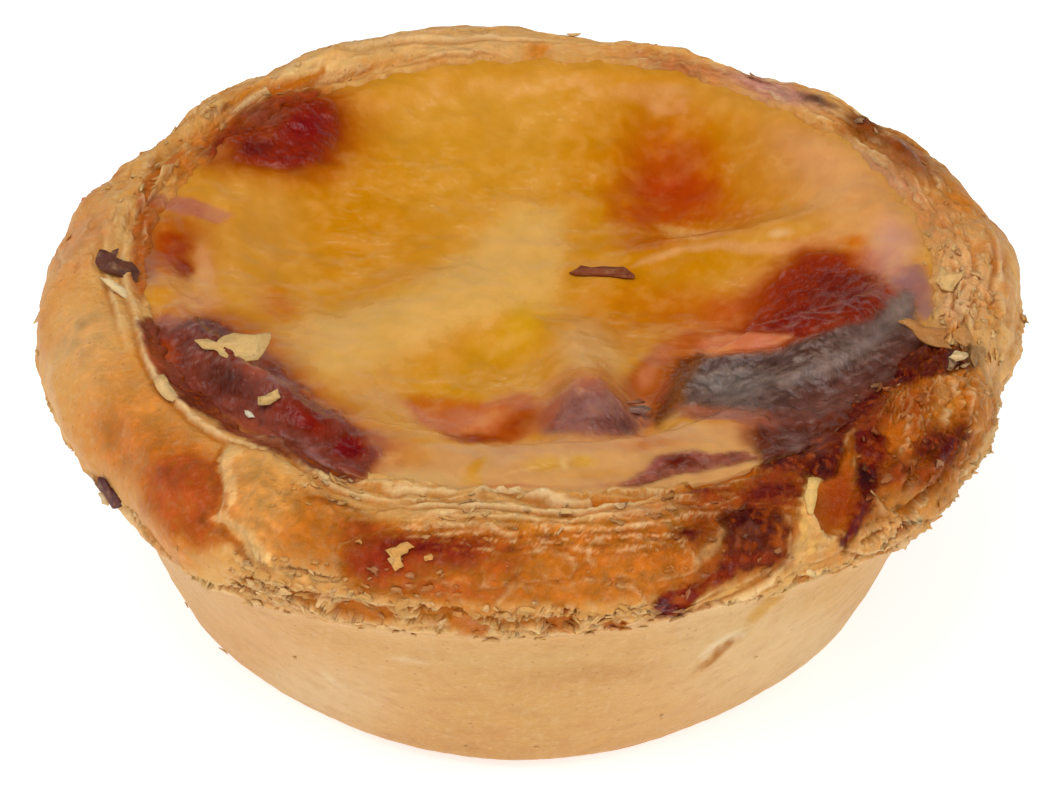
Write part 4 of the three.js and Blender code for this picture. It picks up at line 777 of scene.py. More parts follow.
def rim_looks(p, t, a, pale_lit_edge, foot_shade, clear, extra, still):
    x, y = sight(p)
    front = facing(a, t)
    wx = x + 0.55 * fbm(p / 1.8, 4, 51) + 0.3 * fbm(p / 0.6, 3, 58)
    wy = y + 0.55 * fbm(p / 1.8 + 5, 4, 52) + 0.3 * fbm(p / 0.6 + 5, 3, 59)
    fine, mid, broad = fbm(p / 0.9, 5, 53, 0.62), fbm(p / 2.5, 4, 57), fbm(p / 6.0, 3, 54)
    anywhere = 0.34 * smooth(0.0, 0.4, fbm(p / 8.0, 3, 55)) + 0.3 * smooth(0.12, 0.4, fbm(p / 3.5, 3, 56))
    bake = 0.26 + 0.5 * extra + (1 - front) * anywhere + 0.16 * broad + 0.12 * mid + (0.04 + 0.08 * (1 - still)) * fine
    bake = bake - 0.12 * smooth(8.4, 7.2, t)
    colour = ramp(np.clip(bake, -0.25, 1), CRUST)
    shade = np.clip(1 + (0.26 + 0.2 * still) * mid + 0.16 * broad + (0.3 + 0.2 * (1 - still)) * fine, 0.45, 1.5)
    colour = paint(colour, wx, wy, CRUST_PAINT, front, shade)
    thin = front * smooth(-28.6, -30.0, y) * smooth(-35.5, -33.0, y) * smooth(-10.5, -8.0, x) * smooth(13.5, 11.5, x)
    thin = thin + 0.7 * front * smooth(9.5, 12, x) * smooth(-25.0, -26.0, y) * smooth(-30.5, -29.0, y) * smooth(20.5, 19, x)
    grain = fbm(np.stack([x / 2.2, y / 0.55, 0 * x], 1) + 0.25 * fbm(p / 1.5, 3, 97)[:, None], 4, 96, 0.6)
    colour = colour * (1 + 0.8 * thin * np.clip(grain, -0.5, 0.25))[:, None]
    dark = smooth(0.36, 0.12, colour[:, 0])
    burnt = smooth(0.55, 0.15, colour[:, 0])
    ember = smooth(0.08, 0.36, fbm(p / 0.8, 4, 100, 0.6)) * dark
    colour = mix(colour, lin(178, 84, 26), (0.5 * ember)[:, None])
    # The pale edges lighten the crust with a painted highlight, the thin layers with their own paler colour; painted
    # shade darkens the bases of leaf edges.
    pale = np.clip(pale_lit_edge - 0.25 * fine + 0.5 * thin * smooth(0.16, 0.3, grain), 0, 1)
    colour = mix(colour, lin(242, 208, 154), (0.8 * pale * (1 - 0.95 * burnt))[:, None])
    colour = mix(colour, lin(160, 78, 24), (0.7 * foot_shade * (1 - dark))[:, None])
    soaked = paint(np.tile(lin(194, 106, 24), (len(p), 1)), x, y, CLEAR_PAINT)
    colour = mix(colour, soaked, (0.92 * clear * (1 - 0.7 * dark))[:, None])
    oily = np.clip(foot_shade * 0.5 + clear, 0, 1) * (1 - dark)
    bake = np.clip(0.35 + 0.35 * smooth(0.72, 0.36, colour[:, 0]) + 0.3 * dark, 0, 1)
    return np.clip(colour * 1.02 - [0.022, 0.024, 0.030], 0.0008, 0.9), bake, oily


NF, NB = 660, 300
angr = np.concatenate([np.linspace(-np.pi, 0, NF, endpoint=False), np.linspace(0, np.pi, NB, endpoint=False)])
NR = NF + NB
circle = np.stack([np.cos(angr) * 5, np.sin(angr) * 5, 0 * angr], 1)


def edge_station(a):
    c = np.stack([np.cos(a) * 5, np.sin(a) * 5, 0 * a], 1)
    return 6.95 + 0.55 * fbm(c * 1.6, 4, 61, 0.55) + 0.3 * noise(c * 9, 62) + 0.2 * noise(c * 22, 63)


t_edge = edge_station(angr)
s = np.linspace(0, 1, 94)
T = t_edge[None, :] + (LAST - t_edge[None, :]) * s[:, None]
AA = np.broadcast_to(angr[None, :], T.shape)
tf, af = T.ravel(), AA.ravel()
h, pale_lit_edge, foot_shade, clear, extra, still = rim_shape(tf, af)
lip = smooth(0.0, 0.9, tf - np.tile(t_edge, len(s)))
h = h * (0.05 + 0.95 * lip) + (1 - lip) * (-0.02 + 0.16 * np.tile(noise(circle * 7, 91) + 0.5 * noise(circle * 20, 92), len(s)))
p1 = on_shell(tf, af, h)
inward = smooth(11.9, 13.0, tf) * np.tile(0.9 * noise(circle * 2.2, 93) + 0.7 * noise(circle * 6, 94) + 0.35 * noise(circle * 16, 95), len(s))
p1[:, 0] -= inward * np.cos(af)
p1[:, 1] -= inward * np.sin(af)
p1[:, 2] = np.where(p1[:, 2] > 31.3, 31.3 + 0.5 * np.tanh((p1[:, 2] - 31.3) / 0.5), p1[:, 2])
under = on_shell(t_edge - 0.02, angr, np.full(NR, -0.55))
inner_rows = []
for dr, zz in ((-0.5, 28.0), (-0.7, 26.0)):
    rr = 30.3 + mouth_shift(angr) + dr
    inner_rows.append(np.stack([rr * np.cos(angr), rr * np.sin(angr), np.full(NR, zz)], 1))
inner_rows.append(on_shell(t_edge, angr, np.full(NR, -2.2)))
rings = np.concatenate([under[None], p1.reshape(len(s), NR, 3), np.array(inner_rows)])


def around(first, middle, last):
    return np.concatenate([np.full(NR, first) if np.isscalar(first) else first, middle, np.full(3 * NR, last)])


full_t, full_a = around(t_edge, tf, 13.0), np.concatenate([angr, af, np.tile(angr, 3)])
# The inner rows under the custard get half painted shade.
marks = [around(0.0, pale_lit_edge, 0.0), around(0.0, foot_shade, 0.5), around(0.0, clear, 0.0), around(0.0, extra, 0.0), around(0.0, still, 0.0)]


def rim_attr(v):
    colour, bake, oily = rim_looks(v, full_t, full_a, *marks)
    return {"tone": colour, "bake": bake, "oil": oily}


rim = turned("pastry_rim", rings, rim_attr, wrap=True)

NW = 720
angw = np.arange(NW) / NW * TAU
tw = np.concatenate([[0.35, 0.7, 1.0], np.linspace(1.0, 7.9, 66)[1:]])
TT, AW = np.meshgrid(tw, angw, indexing="ij")
tf2, af2 = TT.ravel(), AW.ravel()
pw = on_shell(tf2, af2)
hw = 0.10 * fbm(pw / 5.0, 3, 81) + 0.05 * fbm(pw / 1.2, 4, 82)
hw = hw * smooth(1.0, 1.6, tf2) - 1.5 * smooth(0.02, 0.6, tf2 - edge_station(af2))
xw, yw = sight(pw)
wall_front = pw[:, 1] < -5
for depth, width, pts in ((0.3, 0.28, [(15.3, -43.4, 0.5), (13.8, -44.6, 1.0), (12.4, -46.6, 1.0), (11.3, -48.3, 0.3)]),
                          (0.25, 0.5, [(18.6, -37.2, 0.3), (17.0, -39.2, 1.0), (15.2, -42.2, 0.6)])):
    d, side, value = line_field(xw, yw, pts)
    hw = hw + wall_front * value * (0.22 * np.exp(-(((d - width * 1.5) / 0.3) ** 2)) * (side > 0) - depth * np.exp(-((d / width) ** 2)))
pw = on_shell(tf2, af2, hw)
pw[:, 2] = np.where(tf2 <= 1.001, 0, np.maximum(pw[:, 2], 0))
inner = []
for rr, zz in ((29.9, 20.0), (29.0, 14.2), (24.8, 6.5), (21.5, 3.4), (6.0, 3.4)):
    inner.append(np.stack([rr * np.cos(angw), rr * np.sin(angw), np.full(NW, zz)], 1))
rings = np.concatenate([pw.reshape(len(tw), NW, 3), np.array(inner)])
full_t2 = np.concatenate([tf2, np.full(5 * NW, 5.0), [0, 0]])


WALL_PAINT = [
    ((231, 191, 131), 0.8, (17, -45, 8, 8, 20), 0), ((217, 164, 92), 0.7, (-1, -52, 8, 7, 0), 0), ((223, 168, 102), 0.6, (-21, -44, 5, 7, 30), 0), ((233, 198, 146), 0.6, (-14, -50.5, 5, 3.6, -20), 0),
    ((226, 180, 112), 0.7, (0, -46.2, 10, 1.3, 0), 0), ((208, 150, 82), 0.5, (-7, -57, 8, 3, 10), 0), ((220, 166, 86), 0.6, (22, -38.5, 4, 2, 40), 0),
    ((222, 164, 74), 0.9, [(18.8, -37.0), (17.2, -38.4), (15.8, -41.0), (14.9, -42.6), (16.4, -41.8), (18.2, -39.4)], 0.3),
    # painted orange shade inside the crack
    ((186, 116, 44), 0.9, [(15.2, -43.5), (13.7, -44.7), (12.5, -46.3), (11.4, -48.0), (12.5, -46.9), (13.9, -45.2)], 0.12),
    ((244, 216, 168), 0.8, [(14.9, -43.0), (13.0, -44.4), (11.8, -46.2), (12.2, -46.4), (13.4, -44.9), (15.3, -43.4)], 0.15),
    ((240, 208, 158), 0.6, (-13.6, -48.6, 0.8, 0.2, -50), 0), ((240, 208, 158), 0.6, (-8, -46.5, 1.6, 0.3, -12), 0), ((196, 136, 66), 0.5, (5, -48, 5, 1.2, 8), 0),
]


def wall_attr(v):
    x, y = sight(v)
    front = smooth(0.35, -0.1, v[:, 1] / np.hypot(v[:, 0], v[:, 1] + 1e-6))
    wx, wy = x + 0.5 * fbm(v / 2.4, 4, 85), y + 0.5 * fbm(v / 2.4 + 5, 4, 86)
    streak = fbm(np.stack([v[:, 0] / 3.2, v[:, 1] / 3.2, v[:, 2] / 1.1], 1), 4, 83)
    fine, broad = fbm(v / 0.8, 4, 87, 0.6), fbm(v / np.array([6, 6, 4]), 3, 84)
    bake = 0.14 + 0.10 * broad + 0.05 * streak + 0.05 * smooth(3.2, 1.2, full_t2)
    colour = ramp(np.clip(bake, -0.2, 1), CRUST)
    colour = paint(colour, wx, wy, WALL_PAINT, front, 1 + 0.10 * streak + 0.05 * broad)
    colour = mix(colour, lin(244, 214, 166), (0.18 * smooth(0.28, 0.5, fine))[:, None])
    colour = mix(colour, lin(206, 146, 74), (0.35 * smooth(0.25, 0.5, -streak))[:, None])
    return {"tone": np.clip(colour * 0.92 - 0.015, 0.001, 0.9), "bake": np.clip(bake, 0, 1), "oil": np.clip(0.3 + broad, 0, 1) * 0.4}


wall = turned("pastry_wall", rings, wall_attr)


# ---------------------------------------------------------------- loose flakes and crumbs
def grid_normals(g, wrap=True):
    du = np.roll(g, -1, 1) - np.roll(g, 1, 1)
    dv = np.gradient(g, axis=0)
    n = np.cross(du, dv)
    return n / (np.linalg.norm(n, axis=2, keepdims=True) + 1e-9)


rim_grid = p1.reshape(len(s), NR, 3)
rim_n = grid_normals(rim_grid)
wall_grid = pw.reshape(len(tw), NW, 3)[3:]
wall_n = grid_normals(wall_grid)
top_n = -grid_normals(top)
surf = np.concatenate([rim_grid.reshape(-1, 3), top.reshape(-1, 3)])
surf_n = np.concatenate([rim_n.reshape(-1, 3), top_n.reshape(-1, 3)])
if (rim_n[40, :, 2].mean()) < 0:
    rim_n, surf_n[: rim_grid.size // 3] = -rim_n, -surf_n[: rim_grid.size // 3]
if (wall_n[30] * wall_grid[30] * [1, 1, 0]).sum() < 0:
    wall_n = -wall_n
if top_n[40, :, 2].mean() < 0:
    top_n = -top_n
    surf_n[rim_grid.size // 3 :] *= -1
seen = ((EYE - surf) * surf_n).sum(1) > 0
surf, surf_n = surf[seen], surf_n[seen]
surf_x, surf_y = sight(surf)
rim_tone = rim_looks(p1, tf, af, pale_lit_edge, foot_shade, clear, extra, still)[0].reshape(len(s), NR, 3)
surf_tone = np.concatenate([rim_tone.reshape(-1, 3), custard_looks(top.reshape(-1, 3))[0]])[seen]


def touch(qx, qy):
    """The visible surface point that lies at a place on the level plane, and its normal."""
    k = np.argmin((surf_x - qx) ** 2 + (surf_y - qy) ** 2)
    return surf[k], surf_n[k], surf_tone[k]


from mathutils import Vector
from mathutils.geometry import tessellate_polygon

rng = np.random.RandomState(11)
fl_v, fl_f, fl_c, fl_n = [], [], [], 0


def add_flake(low_pts, high_pts, rgb, flat=None):
    """A thin closed flake from its lower and upper outlines."""
    global fl_n
    n = len(low_pts)
    flat = low_pts[:, :2] if flat is None else flat
    tris = tessellate_polygon([[Vector((q[0], q[1], 0)) for q in flat]])
    fl_v.append(np.concatenate([low_pts, high_pts]))
    for a_, b_, c_ in tris:
        fl_f.append((fl_n + a_, fl_n + c_, fl_n + b_))
        fl_f.append((fl_n + n + a_, fl_n + n + b_, fl_n + n + c_))
    for k in range(n):
        m = (k + 1) % n
        fl_f.append((fl_n + k, fl_n + m, fl_n + n + m))
        fl_f.append((fl_n + k, fl_n + n + m, fl_n + n + k))
    tone = (lin(*rgb) if isinstance(rgb, tuple) else rgb) * (0.9 + 0.2 * rng.rand(2 * n, 1))
    fl_c.append(np.clip(tone, 0, 0.9))
    fl_n += 2 * n


def laid(outline, rgb, lift=0.3, thick=0.16, curl=0.25):
    """A flake of a given outline on the level plane, lying on whatever is under it."""
    pts = np.array(outline, float)
    more = []
    for k in range(len(pts)):
        a_, b_ = pts[k], pts[(k + 1) % len(pts)]
        more += [a_, (a_ + b_) / 2 + rng.normal(0, 0.07, 2)]
    pts = np.array(more)
    centre = pts.mean(0)
    base, nrm = zip(*[touch(*q)[:2] for q in pts])
    base, nrm = np.array(base), np.array(nrm)
    mean_n = nrm.mean(0) + (EYE - base.mean(0)) / np.linalg.norm(EYE - base.mean(0)) * 0.4
    mean_n /= np.linalg.norm(mean_n)
    far = np.hypot(*(pts - centre).T)
    up = curl * (far / far.max()) ** 2 + rng.normal(0, 0.03, len(pts))
    rise = (base - base.mean(0)) @ mean_n
    level = base.mean(0) + (np.percentile(rise, 70) + 0.3 * lift) * mean_n
    ray = np.stack([pts[:, 0], pts[:, 1], np.full(len(pts), PLANE_Z)], 1) - EYE
    low_pts = EYE + ray * (((level - EYE) @ mean_n) / (ray @ mean_n))[:, None] + up[:, None] * mean_n
    add_flake(low_pts, low_pts + thick * mean_n, rgb, pts)


def chip(point, normal, size, rgb, tilt=0.5, thick=0.1, stretch=1.6, along=None):
    """One small ragged flake, resting on a point of the surface."""
    n = rng.randint(9, 15)
    nn = normal + rng.normal(0, tilt, 3) * 0.6
    nn /= np.linalg.norm(nn)
    u = np.cross(nn, [0, 0, 1.0] if along is None else along)
    u = u / (np.linalg.norm(u) + 1e-9)
    w = np.cross(nn, u)
    turn = rng.normal(0, 0.5)
    u, w = u * math.cos(turn) + w * math.sin(turn), w * math.cos(turn) - u * math.sin(turn)
    th = (np.arange(n) + rng.rand(n) * 0.6) / n * TAU
    rad = size * (0.45 + 0.75 * rng.rand(n))
    fx, fy = rad * np.cos(th) * stretch, rad * np.sin(th) / stretch**0.3
    bend = rng.normal(0.25, 0.25)
    low_pts = point + fx[:, None] * u + fy[:, None] * w + (0.03 + bend * fx**2 / (size * 2 + 1e-6))[:, None] * nn
    add_flake(low_pts, low_pts + thick * nn, rgb, np.stack([fx, fy], 1))


laid([(3.3, 2.0), (4.2, 3.1), (6.0, 3.0), (7.6, 2.9), (8.4, 1.7), (8.3, 1.3), (6.5, 1.7), (4.5, 1.8)], (142, 74, 40), 0.2, 0.22, 0.12)
laid([(-25.4, -7.3), (-24.4, -7.1), (-23.7, -7.6), (-23.2, -6.7), (-22.4, -6.3), (-21.0, -6.6), (-19.6, -6.4), (-19.7, -7.8), (-20.4, -10.0), (-22.4, -10.1), (-23.4, -9.2), (-23.8, -8.5), (-24.7, -8.3)], (230, 184, 116), 0.8, 0.14, 0.15)
laid([(-20.1, -14.8), (-19.3, -14.3), (-18.6, -13.8), (-18.4, -14.8), (-19.2, -15.8), (-20.0, -15.9)], (226, 180, 112), 0.4, 0.15, 0.3)
laid([(-21.0, -16.6), (-20.5, -16.8), (-20.2, -17.5), (-20.7, -17.5)], (244, 226, 190), 0.3, 0.14, 0.1)
laid([(-33.7, 5.2), (-32.8, 4.8), (-32.2, 5.4), (-32.3, 4.2), (-31, 3.6), (-30.3, 2.2), (-30.4, 0.6), (-30.9, -0.3), (-31.4, 1.2), (-32.3, 2.0), (-33.2, 2.4), (-33.9, 3.6)], (98, 56, 42), 0.5, 0.2, 0.5)
laid([(-33.3, 1.4), (-32.4, 1.2), (-31.6, 0.4), (-31.0, -0.6), (-30.6, -2.0), (-31.4, -1.2), (-32.2, -0.2), (-32.8, 0.6)], (240, 204, 150), 0.3, 0.16, 0.3)
laid([(-28.2, -12.6), (-27.4, -12.1), (-26.9, -13.2), (-26.1, -15.0), (-26.5, -15.7), (-27.4, -14.6)], (230, 184, 122), 0.2, 0.14, 0.3)
laid([(31.8, 0.8), (32.4, 2.8), (33.0, 2.0), (34.2, 2.0), (33.5, 0.6), (33.0, -0.9), (32.2, -0.4)], (233, 182, 114), 0.4, 0.2, 0.4)
laid([(28.3, -4.8), (29.2, -4.5), (30.5, -5.5), (32.3, -5.9), (31.7, -7.2), (32.1, -9.0), (31.0, -8.4), (30.0, -7.2), (29.4, -5.9)], (184, 122, 60), 0.6, 0.2, 0.7)
laid([(28.4, -4.7), (29.0, -4.3), (29.9, -5.1), (29.4, -5.4)], (236, 196, 128), 0.9, 0.14, 0.3)
laid([(31.8, -9.6), (32.3, -8.8), (33.2, -9.1), (33.0, -9.9), (32.3, -10.2)], (234, 198, 142), 0.6, 0.3, 0.3)
laid([(32.4, -6.4), (33.4, -5.2), (33.9, -7.2), (33.2, -8.4), (32.7, -7.5)], (200, 138, 74), 0.5, 0.18, 0.6)
laid([(-10.1, -33.9), (-9.3, -33.5), (-8.5, -32.9), (-8.0, -33.5), (-8.5, -34.2), (-9.0, -34.6), (-8.7, -35.8), (-9.3, -36.4), (-9.7, -35.4), (-9.6, -34.8)], (222, 160, 84), 0.3, 0.25, 0.15)
laid([(-9.9, -34.9), (-9.2, -34.5), (-9.5, -35.7)], (226, 172, 98), 0.5, 0.2, 0.1)
laid([(-7.3, -34.6), (-6.8, -34.3), (-6.7, -35.0), (-7.2, -35.2)], (216, 150, 76), 0.3, 0.2, 0.1)
laid([(-12.3, -33.0), (-11.9, -32.7), (-11.8, -33.3)], (214, 146, 74), 0.3, 0.2, 0.1)
laid([(-31.2, -24.8), (-30.6, -25.4), (-29.8, -27.0), (-29.2, -28.4), (-29.8, -28.6), (-30.6, -27), (-31.2, -25.8)], (84, 42, 44), 0.2, 0.22, 0.12)
laid([(-31.0, -26.6), (-30.6, -27.0), (-30.2, -28.2), (-30.7, -28.0)], (226, 190, 140), 0.3, 0.2, 0.3)
laid([(7.0, -16.4), (8.4, -15.9), (9.3, -16.4), (8.8, -17.0), (7.6, -16.9)], (152, 112, 96), 0.2, 0.12, 0.15)
laid([(7.2, -15.4), (8.4, -15.1), (8.8, -15.5), (7.6, -15.7)], (160, 96, 64), 0.2, 0.12, 0.1)
laid([(20.5, -25.2), (21.4, -25.4), (21.0, -27.6), (20.5, -29.8), (20.2, -29.6), (20.1, -27.4)], (236, 186, 108), 0.2, 0.18, 0.2)

PALE = [(226, 178, 112), (216, 162, 96), (233, 192, 132), (208, 148, 82), (240, 206, 152), (220, 166, 98)]


def scatter(count, pick, size, colours, tilt=0.5, thick=0.1, stretch=1.6):
    done = 0
    while done < count:
        got = pick()
        if got is None:
            continue
        point, normal, under_tone = got
        along = np.array([-point[1], point[0], 0])
        rgb = mix(under_tone * 1.08, lin(*colours[rng.randint(len(colours))]), 0.2 + 0.4 * rng.rand() ** 2)
        chip(point, normal, size * (0.5 + rng.rand() ** 2 * 1.3), rgb, tilt, thick, stretch, np.cross(along, normal))
        done += 1


def on_plane(x0, x1, y0, y1, slant=0.0):
    def pick():
        fx = rng.rand()
        qx = x0 + (x1 - x0) * fx
        qy = y0 + (y1 - y0) * rng.rand() + slant * (qx / 20.0) ** 2
        pt, nn, tone = touch(qx, qy)
        px, py = sight(pt[None])
        return (pt, nn, tone) if abs(px[0] - qx) + abs(py[0] - qy) < 0.6 else None
    return pick


def on_rim(t0, t1, a0, a1):
    def pick():
        t_, deg_ = t0 + (t1 - t0) * rng.rand(), a0 + (a1 - a0) * rng.rand()
        if rng.rand() < calm(np.array([(deg_ + 180) % 360 - 180]), np.array([max(t_, 9.0)]))[0] * 0.9:
            return None
        j = np.argmin(np.abs(np.mod(angr - math.radians(deg_) + np.pi, TAU) - np.pi))
        row = int(np.clip((t_ - t_edge[j]) / (LAST - t_edge[j]) * (len(s) - 1), 0, len(s) - 1))
        return rim_grid[row, j], rim_n[row, j], rim_tone[row, j]
    return pick


def on_wall():
    j, k = rng.randint(8, len(tw) - 4), rng.randint(NW)
    return wall_grid[j, k], wall_n[j, k], lin(228, 182, 118)


scatter(80, on_plane(-20, 9, -44.8, -40.6, 5.0), 0.30, PALE, 0.2, 0.09, 1.5)
scatter(60, on_plane(-21, -4, -41.0, -36.4, 2.5), 0.24, PALE, 0.2, 0.09, 1.5)
scatter(26, on_plane(-9, 11, -31.8, -27.2, 1.0), 0.20, PALE, 0.2, 0.09, 2.2)
scatter(30, on_plane(-9, 12, -39.6, -31.6), 0.16, [(196, 118, 54), (206, 134, 68), (184, 104, 42), (222, 164, 98)], 0.2, 0.08, 1.6)
scatter(44, on_plane(31, 36.5, -12, 8), 0.28, PALE, 0.3, 0.1, 1.5)
scatter(44, on_plane(24, 35, -31, -13), 0.24, PALE[:3] + [(190, 112, 50), (150, 76, 40), (170, 92, 44)], 0.3, 0.1, 1.5)
scatter(6, on_plane(-29, -20, 26, 31), 0.16, PALE, 0.2, 0.09, 2.0)
scatter(14, on_plane(-31.5, -28, 12, 24), 0.18, PALE, 0.2, 0.09, 2.0)
scatter(26, on_plane(-19, -12, -28.5, -24.5), 0.2, PALE, 0.2, 0.09, 1.6)
scatter(30, on_plane(9, 19, -42, -26), 0.18, [(196, 118, 54), (160, 96, 60), (216, 156, 92), (110, 56, 46)], 0.25, 0.08, 1.5)
scatter(170, on_rim(7.0, 8.7, 0, 360), 0.26, PALE, 0.22, 0.09, 1.5)
scatter(60, on_rim(9.4, 12.4, -30, 178), 0.22, PALE + [(190, 120, 60)], 0.22, 0.09, 1.6)
scatter(40, on_wall, 0.18, PALE[:3], 0.12, 0.06)

fv = np.concatenate(fl_v)
fv[:, 2] = np.clip(fv[:, 2], 0.02, 31.9)
flakes = build("pastry_flakes", fv, fl_f, {"tone": np.concatenate(fl_c), "bake": np.full(len(fv), 0.3), "oil": np.zeros(len(fv))}, True)


# ---------------------------------------------------------------- materials
def new_material(name):
    m = bpy.data.materials.new(name)
    m.use_nodes = True
    nt = m.node_tree
    nt.nodes.clear()
    out = nt.nodes.new("ShaderNodeOutputMaterial")
    sh = nt.nodes.new("ShaderNodeBsdfPrincipled")
    nt.links.new(sh.outputs["BSDF"], out.inputs["Surface"])
    return m, nt, sh


class Graph:
    def __init__(self, nt):
        self.nt = nt

    def link(self, a, b):
        self.nt.links.new(a, b)

    def attr(self, name, out="Fac"):
        n = self.nt.nodes.new("ShaderNodeAttribute")
        n.attribute_name = name
        return n.outputs[out]

    def coords(self):
        return self.nt.nodes.new("ShaderNodeTexCoord").outputs["Object"]

    def noise(self, scale, detail=4, rough=0.55, stretch=None):
        n = self.nt.nodes.new("ShaderNodeTexNoise")
        n.inputs["Scale"].default_value = scale
        n.inputs["Detail"].default_value = detail
        n.inputs["Roughness"].default_value = rough
        co = self.coords()
        if stretch:
            m = self.nt.nodes.new("ShaderNodeMapping")
            m.inputs["Scale"].default_value = stretch
            self.link(co, m.inputs["Vector"])
            co = m.outputs["Vector"]
        self.link(co, n.inputs["Vector"])
        return n.outputs["Fac"]

    def cells(self, scale, feature="F1"):
        n = self.nt.nodes.new("ShaderNodeTexVoronoi")
        n.feature = feature
        n.inputs["Scale"].default_value = scale
        self.link(self.coords(), n.inputs["Vector"])
        return n.outputs["Distance"]

    def math(self, op, a, b=None, clamp=False):
        n = self.nt.nodes.new("ShaderNodeMath")
        n.operation = op
        n.use_clamp = clamp
        for k, val in enumerate((a, b)):
            if val is None:
                continue
            if isinstance(val, (int, float)):
                n.inputs[k].default_value = val
            else:
                self.link(val, n.inputs[k])
        return n.outputs[0]

    def map(self, v, a, b, c, d):
        n = self.nt.nodes.new("ShaderNodeMapRange")
        for k, val in zip(("From Min", "From Max", "To Min", "To Max"), (a, b, c, d)):
            n.inputs[k].default_value = val
        self.link(v, n.inputs["Value"])
        return n.outputs["Result"]

    def mix(self, f, a, b, blend="MIX"):
        n = self.nt.nodes.new("ShaderNodeMix")
        n.data_type = "RGBA"
        n.blend_type = blend
        for key, val in (("Factor", f), ("A", a), ("B", b)):
            sock = [s for s in n.inputs if s.name == key and s.type == ("VALUE" if key == "Factor" else "RGBA")][0]
            if isinstance(val, (int, float)):
                sock.default_value = val
            elif isinstance(val, (tuple, list, np.ndarray)):
                sock.default_value = (*[float(c) for c in val[:3]], 1.0)
            else:
                self.link(val, sock)
        return [s for s in n.outputs if s.type == "RGBA"][0]

    def bump(self, height, distance, strength=1.0, normal=None):
        n = self.nt.nodes.new("ShaderNodeBump")
        n.inputs["Distance"].default_value = distance
        n.inputs["Strength"].default_value = strength
        self.link(height, n.inputs["Height"])
        if normal is not None:
            self.link(normal, n.inputs["Normal"])
        return n.outputs["Normal"]


def pastry_material(name, roughness=0.6):
    m, nt, sh = new_material(name)
    g = Graph(nt)
    tone, bake, oil = g.attr("tone", "Color"), g.attr("bake"), g.attr("oil")
    grain = g.noise(1500, 6, 0.65)
    fleck = g.noise(520, 5, 0.6)
    pale = g.mix(g.map(grain, 0.52, 0.78, 0.0, 0.28), tone, lin(240, 206, 152))
    dark = g.mix(g.map(fleck, 0.5, 0.75, 0.0, 0.26), pale, lin(186, 108, 44), "MIX")
    keep = g.mix(g.map(bake, 0.4, 0.8, 1.0, 0.1), tone, dark)
    pores = g.cells(900)
    spot = g.map(pores, 0.05, 0.14, 0.42, 0.0)
    done = g.mix(spot, keep, lin(150, 74, 30))
    nt.links.new(done, sh.inputs["Base Color"])
    sh.inputs["Subsurface Weight"].default_value = 0.18
    sh.inputs["Subsurface Radius"].default_value = (1.0, 0.55, 0.25)
    sh.inputs["Subsurface Scale"].default_value = 0.0012
    sh.inputs["IOR"].default_value = 1.45
    glint = g.map(g.noise(1900, 3, 0.6), 0.56, 0.7, 0.0, 0.4)
    nt.links.new(g.math("ADD", g.map(bake, 0.4, 0.8, 0.24, 0.1), glint), sh.inputs["Specular IOR Level"])
    rough = g.math("ADD", g.map(oil, 0, 1, roughness, 0.34), g.map(grain, 0.3, 0.7, -0.08, 0.08))
    rough = g.math("SUBTRACT", rough, g.map(bake, 0.6, 0.95, 0.0, 0.28))
    nt.links.new(rough, sh.inputs["Roughness"])
    n1 = g.bump(grain, 0.00045, 0.8)
    n2 = g.bump(g.noise(4200, 4, 0.6), 0.00008, 0.5, n1)
    nt.links.new(n2, sh.inputs["Normal"])
    return m


def custard_material(name):
    m, nt, sh = new_material(name)
    g = Graph(nt)
    tone, cover, toast = g.attr("tone", "Color"), g.attr("cover"), g.attr("toast")
    mott = g.noise(420, 6, 0.6)
    varied = g.mix(g.map(mott, 0.5, 0.8, 0.0, 0.16), tone, lin(226, 176, 104))
    keep = g.mix(g.map(toast, 0.2, 0.5, 1.0, 0.0), tone, varied)
    nt.links.new(keep, sh.inputs["Base Color"])
    sh.inputs["Subsurface Weight"].default_value = 0.35
    sh.inputs["Subsurface Radius"].default_value = (1.0, 0.45, 0.12)
    sh.inputs["Subsurface Scale"].default_value = 0.0022
    sh.inputs["IOR"].default_value = 1.42
    nt.links.new(g.math("ADD", g.map(cover, 0, 1, 0.15, 0.3), g.map(toast, 0.2, 0.8, 0.0, 0.2)), sh.inputs["Specular IOR Level"])
    fib = g.noise(900, 5, 0.6, (1.0, 0.35, 1.0))
    rough = g.math("ADD", g.map(cover, 0, 1, 0.16, 0.36), g.map(toast, 0.3, 0.9, 0.0, 0.04))
    nt.links.new(rough, sh.inputs["Roughness"])
    h = g.math("MULTIPLY", fib, g.map(toast, 0.1, 0.8, 0.3, 2.0))
    n1 = g.bump(h, 0.00035, 0.6)
    n2 = g.bump(g.noise(2600, 4, 0.6), 0.00006, 0.5, n1)
    nt.links.new(n2, sh.inputs["Normal"])
    return m


crust_mat = pastry_material("baked_pastry", 0.5)
fill_mat = custard_material("baked_custard")
for o in (rim, wall, flakes):
    o.data.materials.append(crust_mat)
    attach(o, "root")
    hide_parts("pastry_shell")
custard.data.materials.append(fill_mat)
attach(custard, "root")
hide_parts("custard")


# ---------------------------------------------------------------- studio
def plain(name, rgb, rough, glow=0.0):
    m, nt, sh = new_material(name)
    sh.inputs["Base Color"].default_value = (*rgb, 1)
    sh.inputs["Roughness"].default_value = rough
    sh.inputs["Specular IOR Level"].default_value = 0.0
    if glow:
        sh.inputs["Emission Color"].default_value = (1, 1, 1, 1)
        sh.inputs["Emission Strength"].default_value = glow
    return m


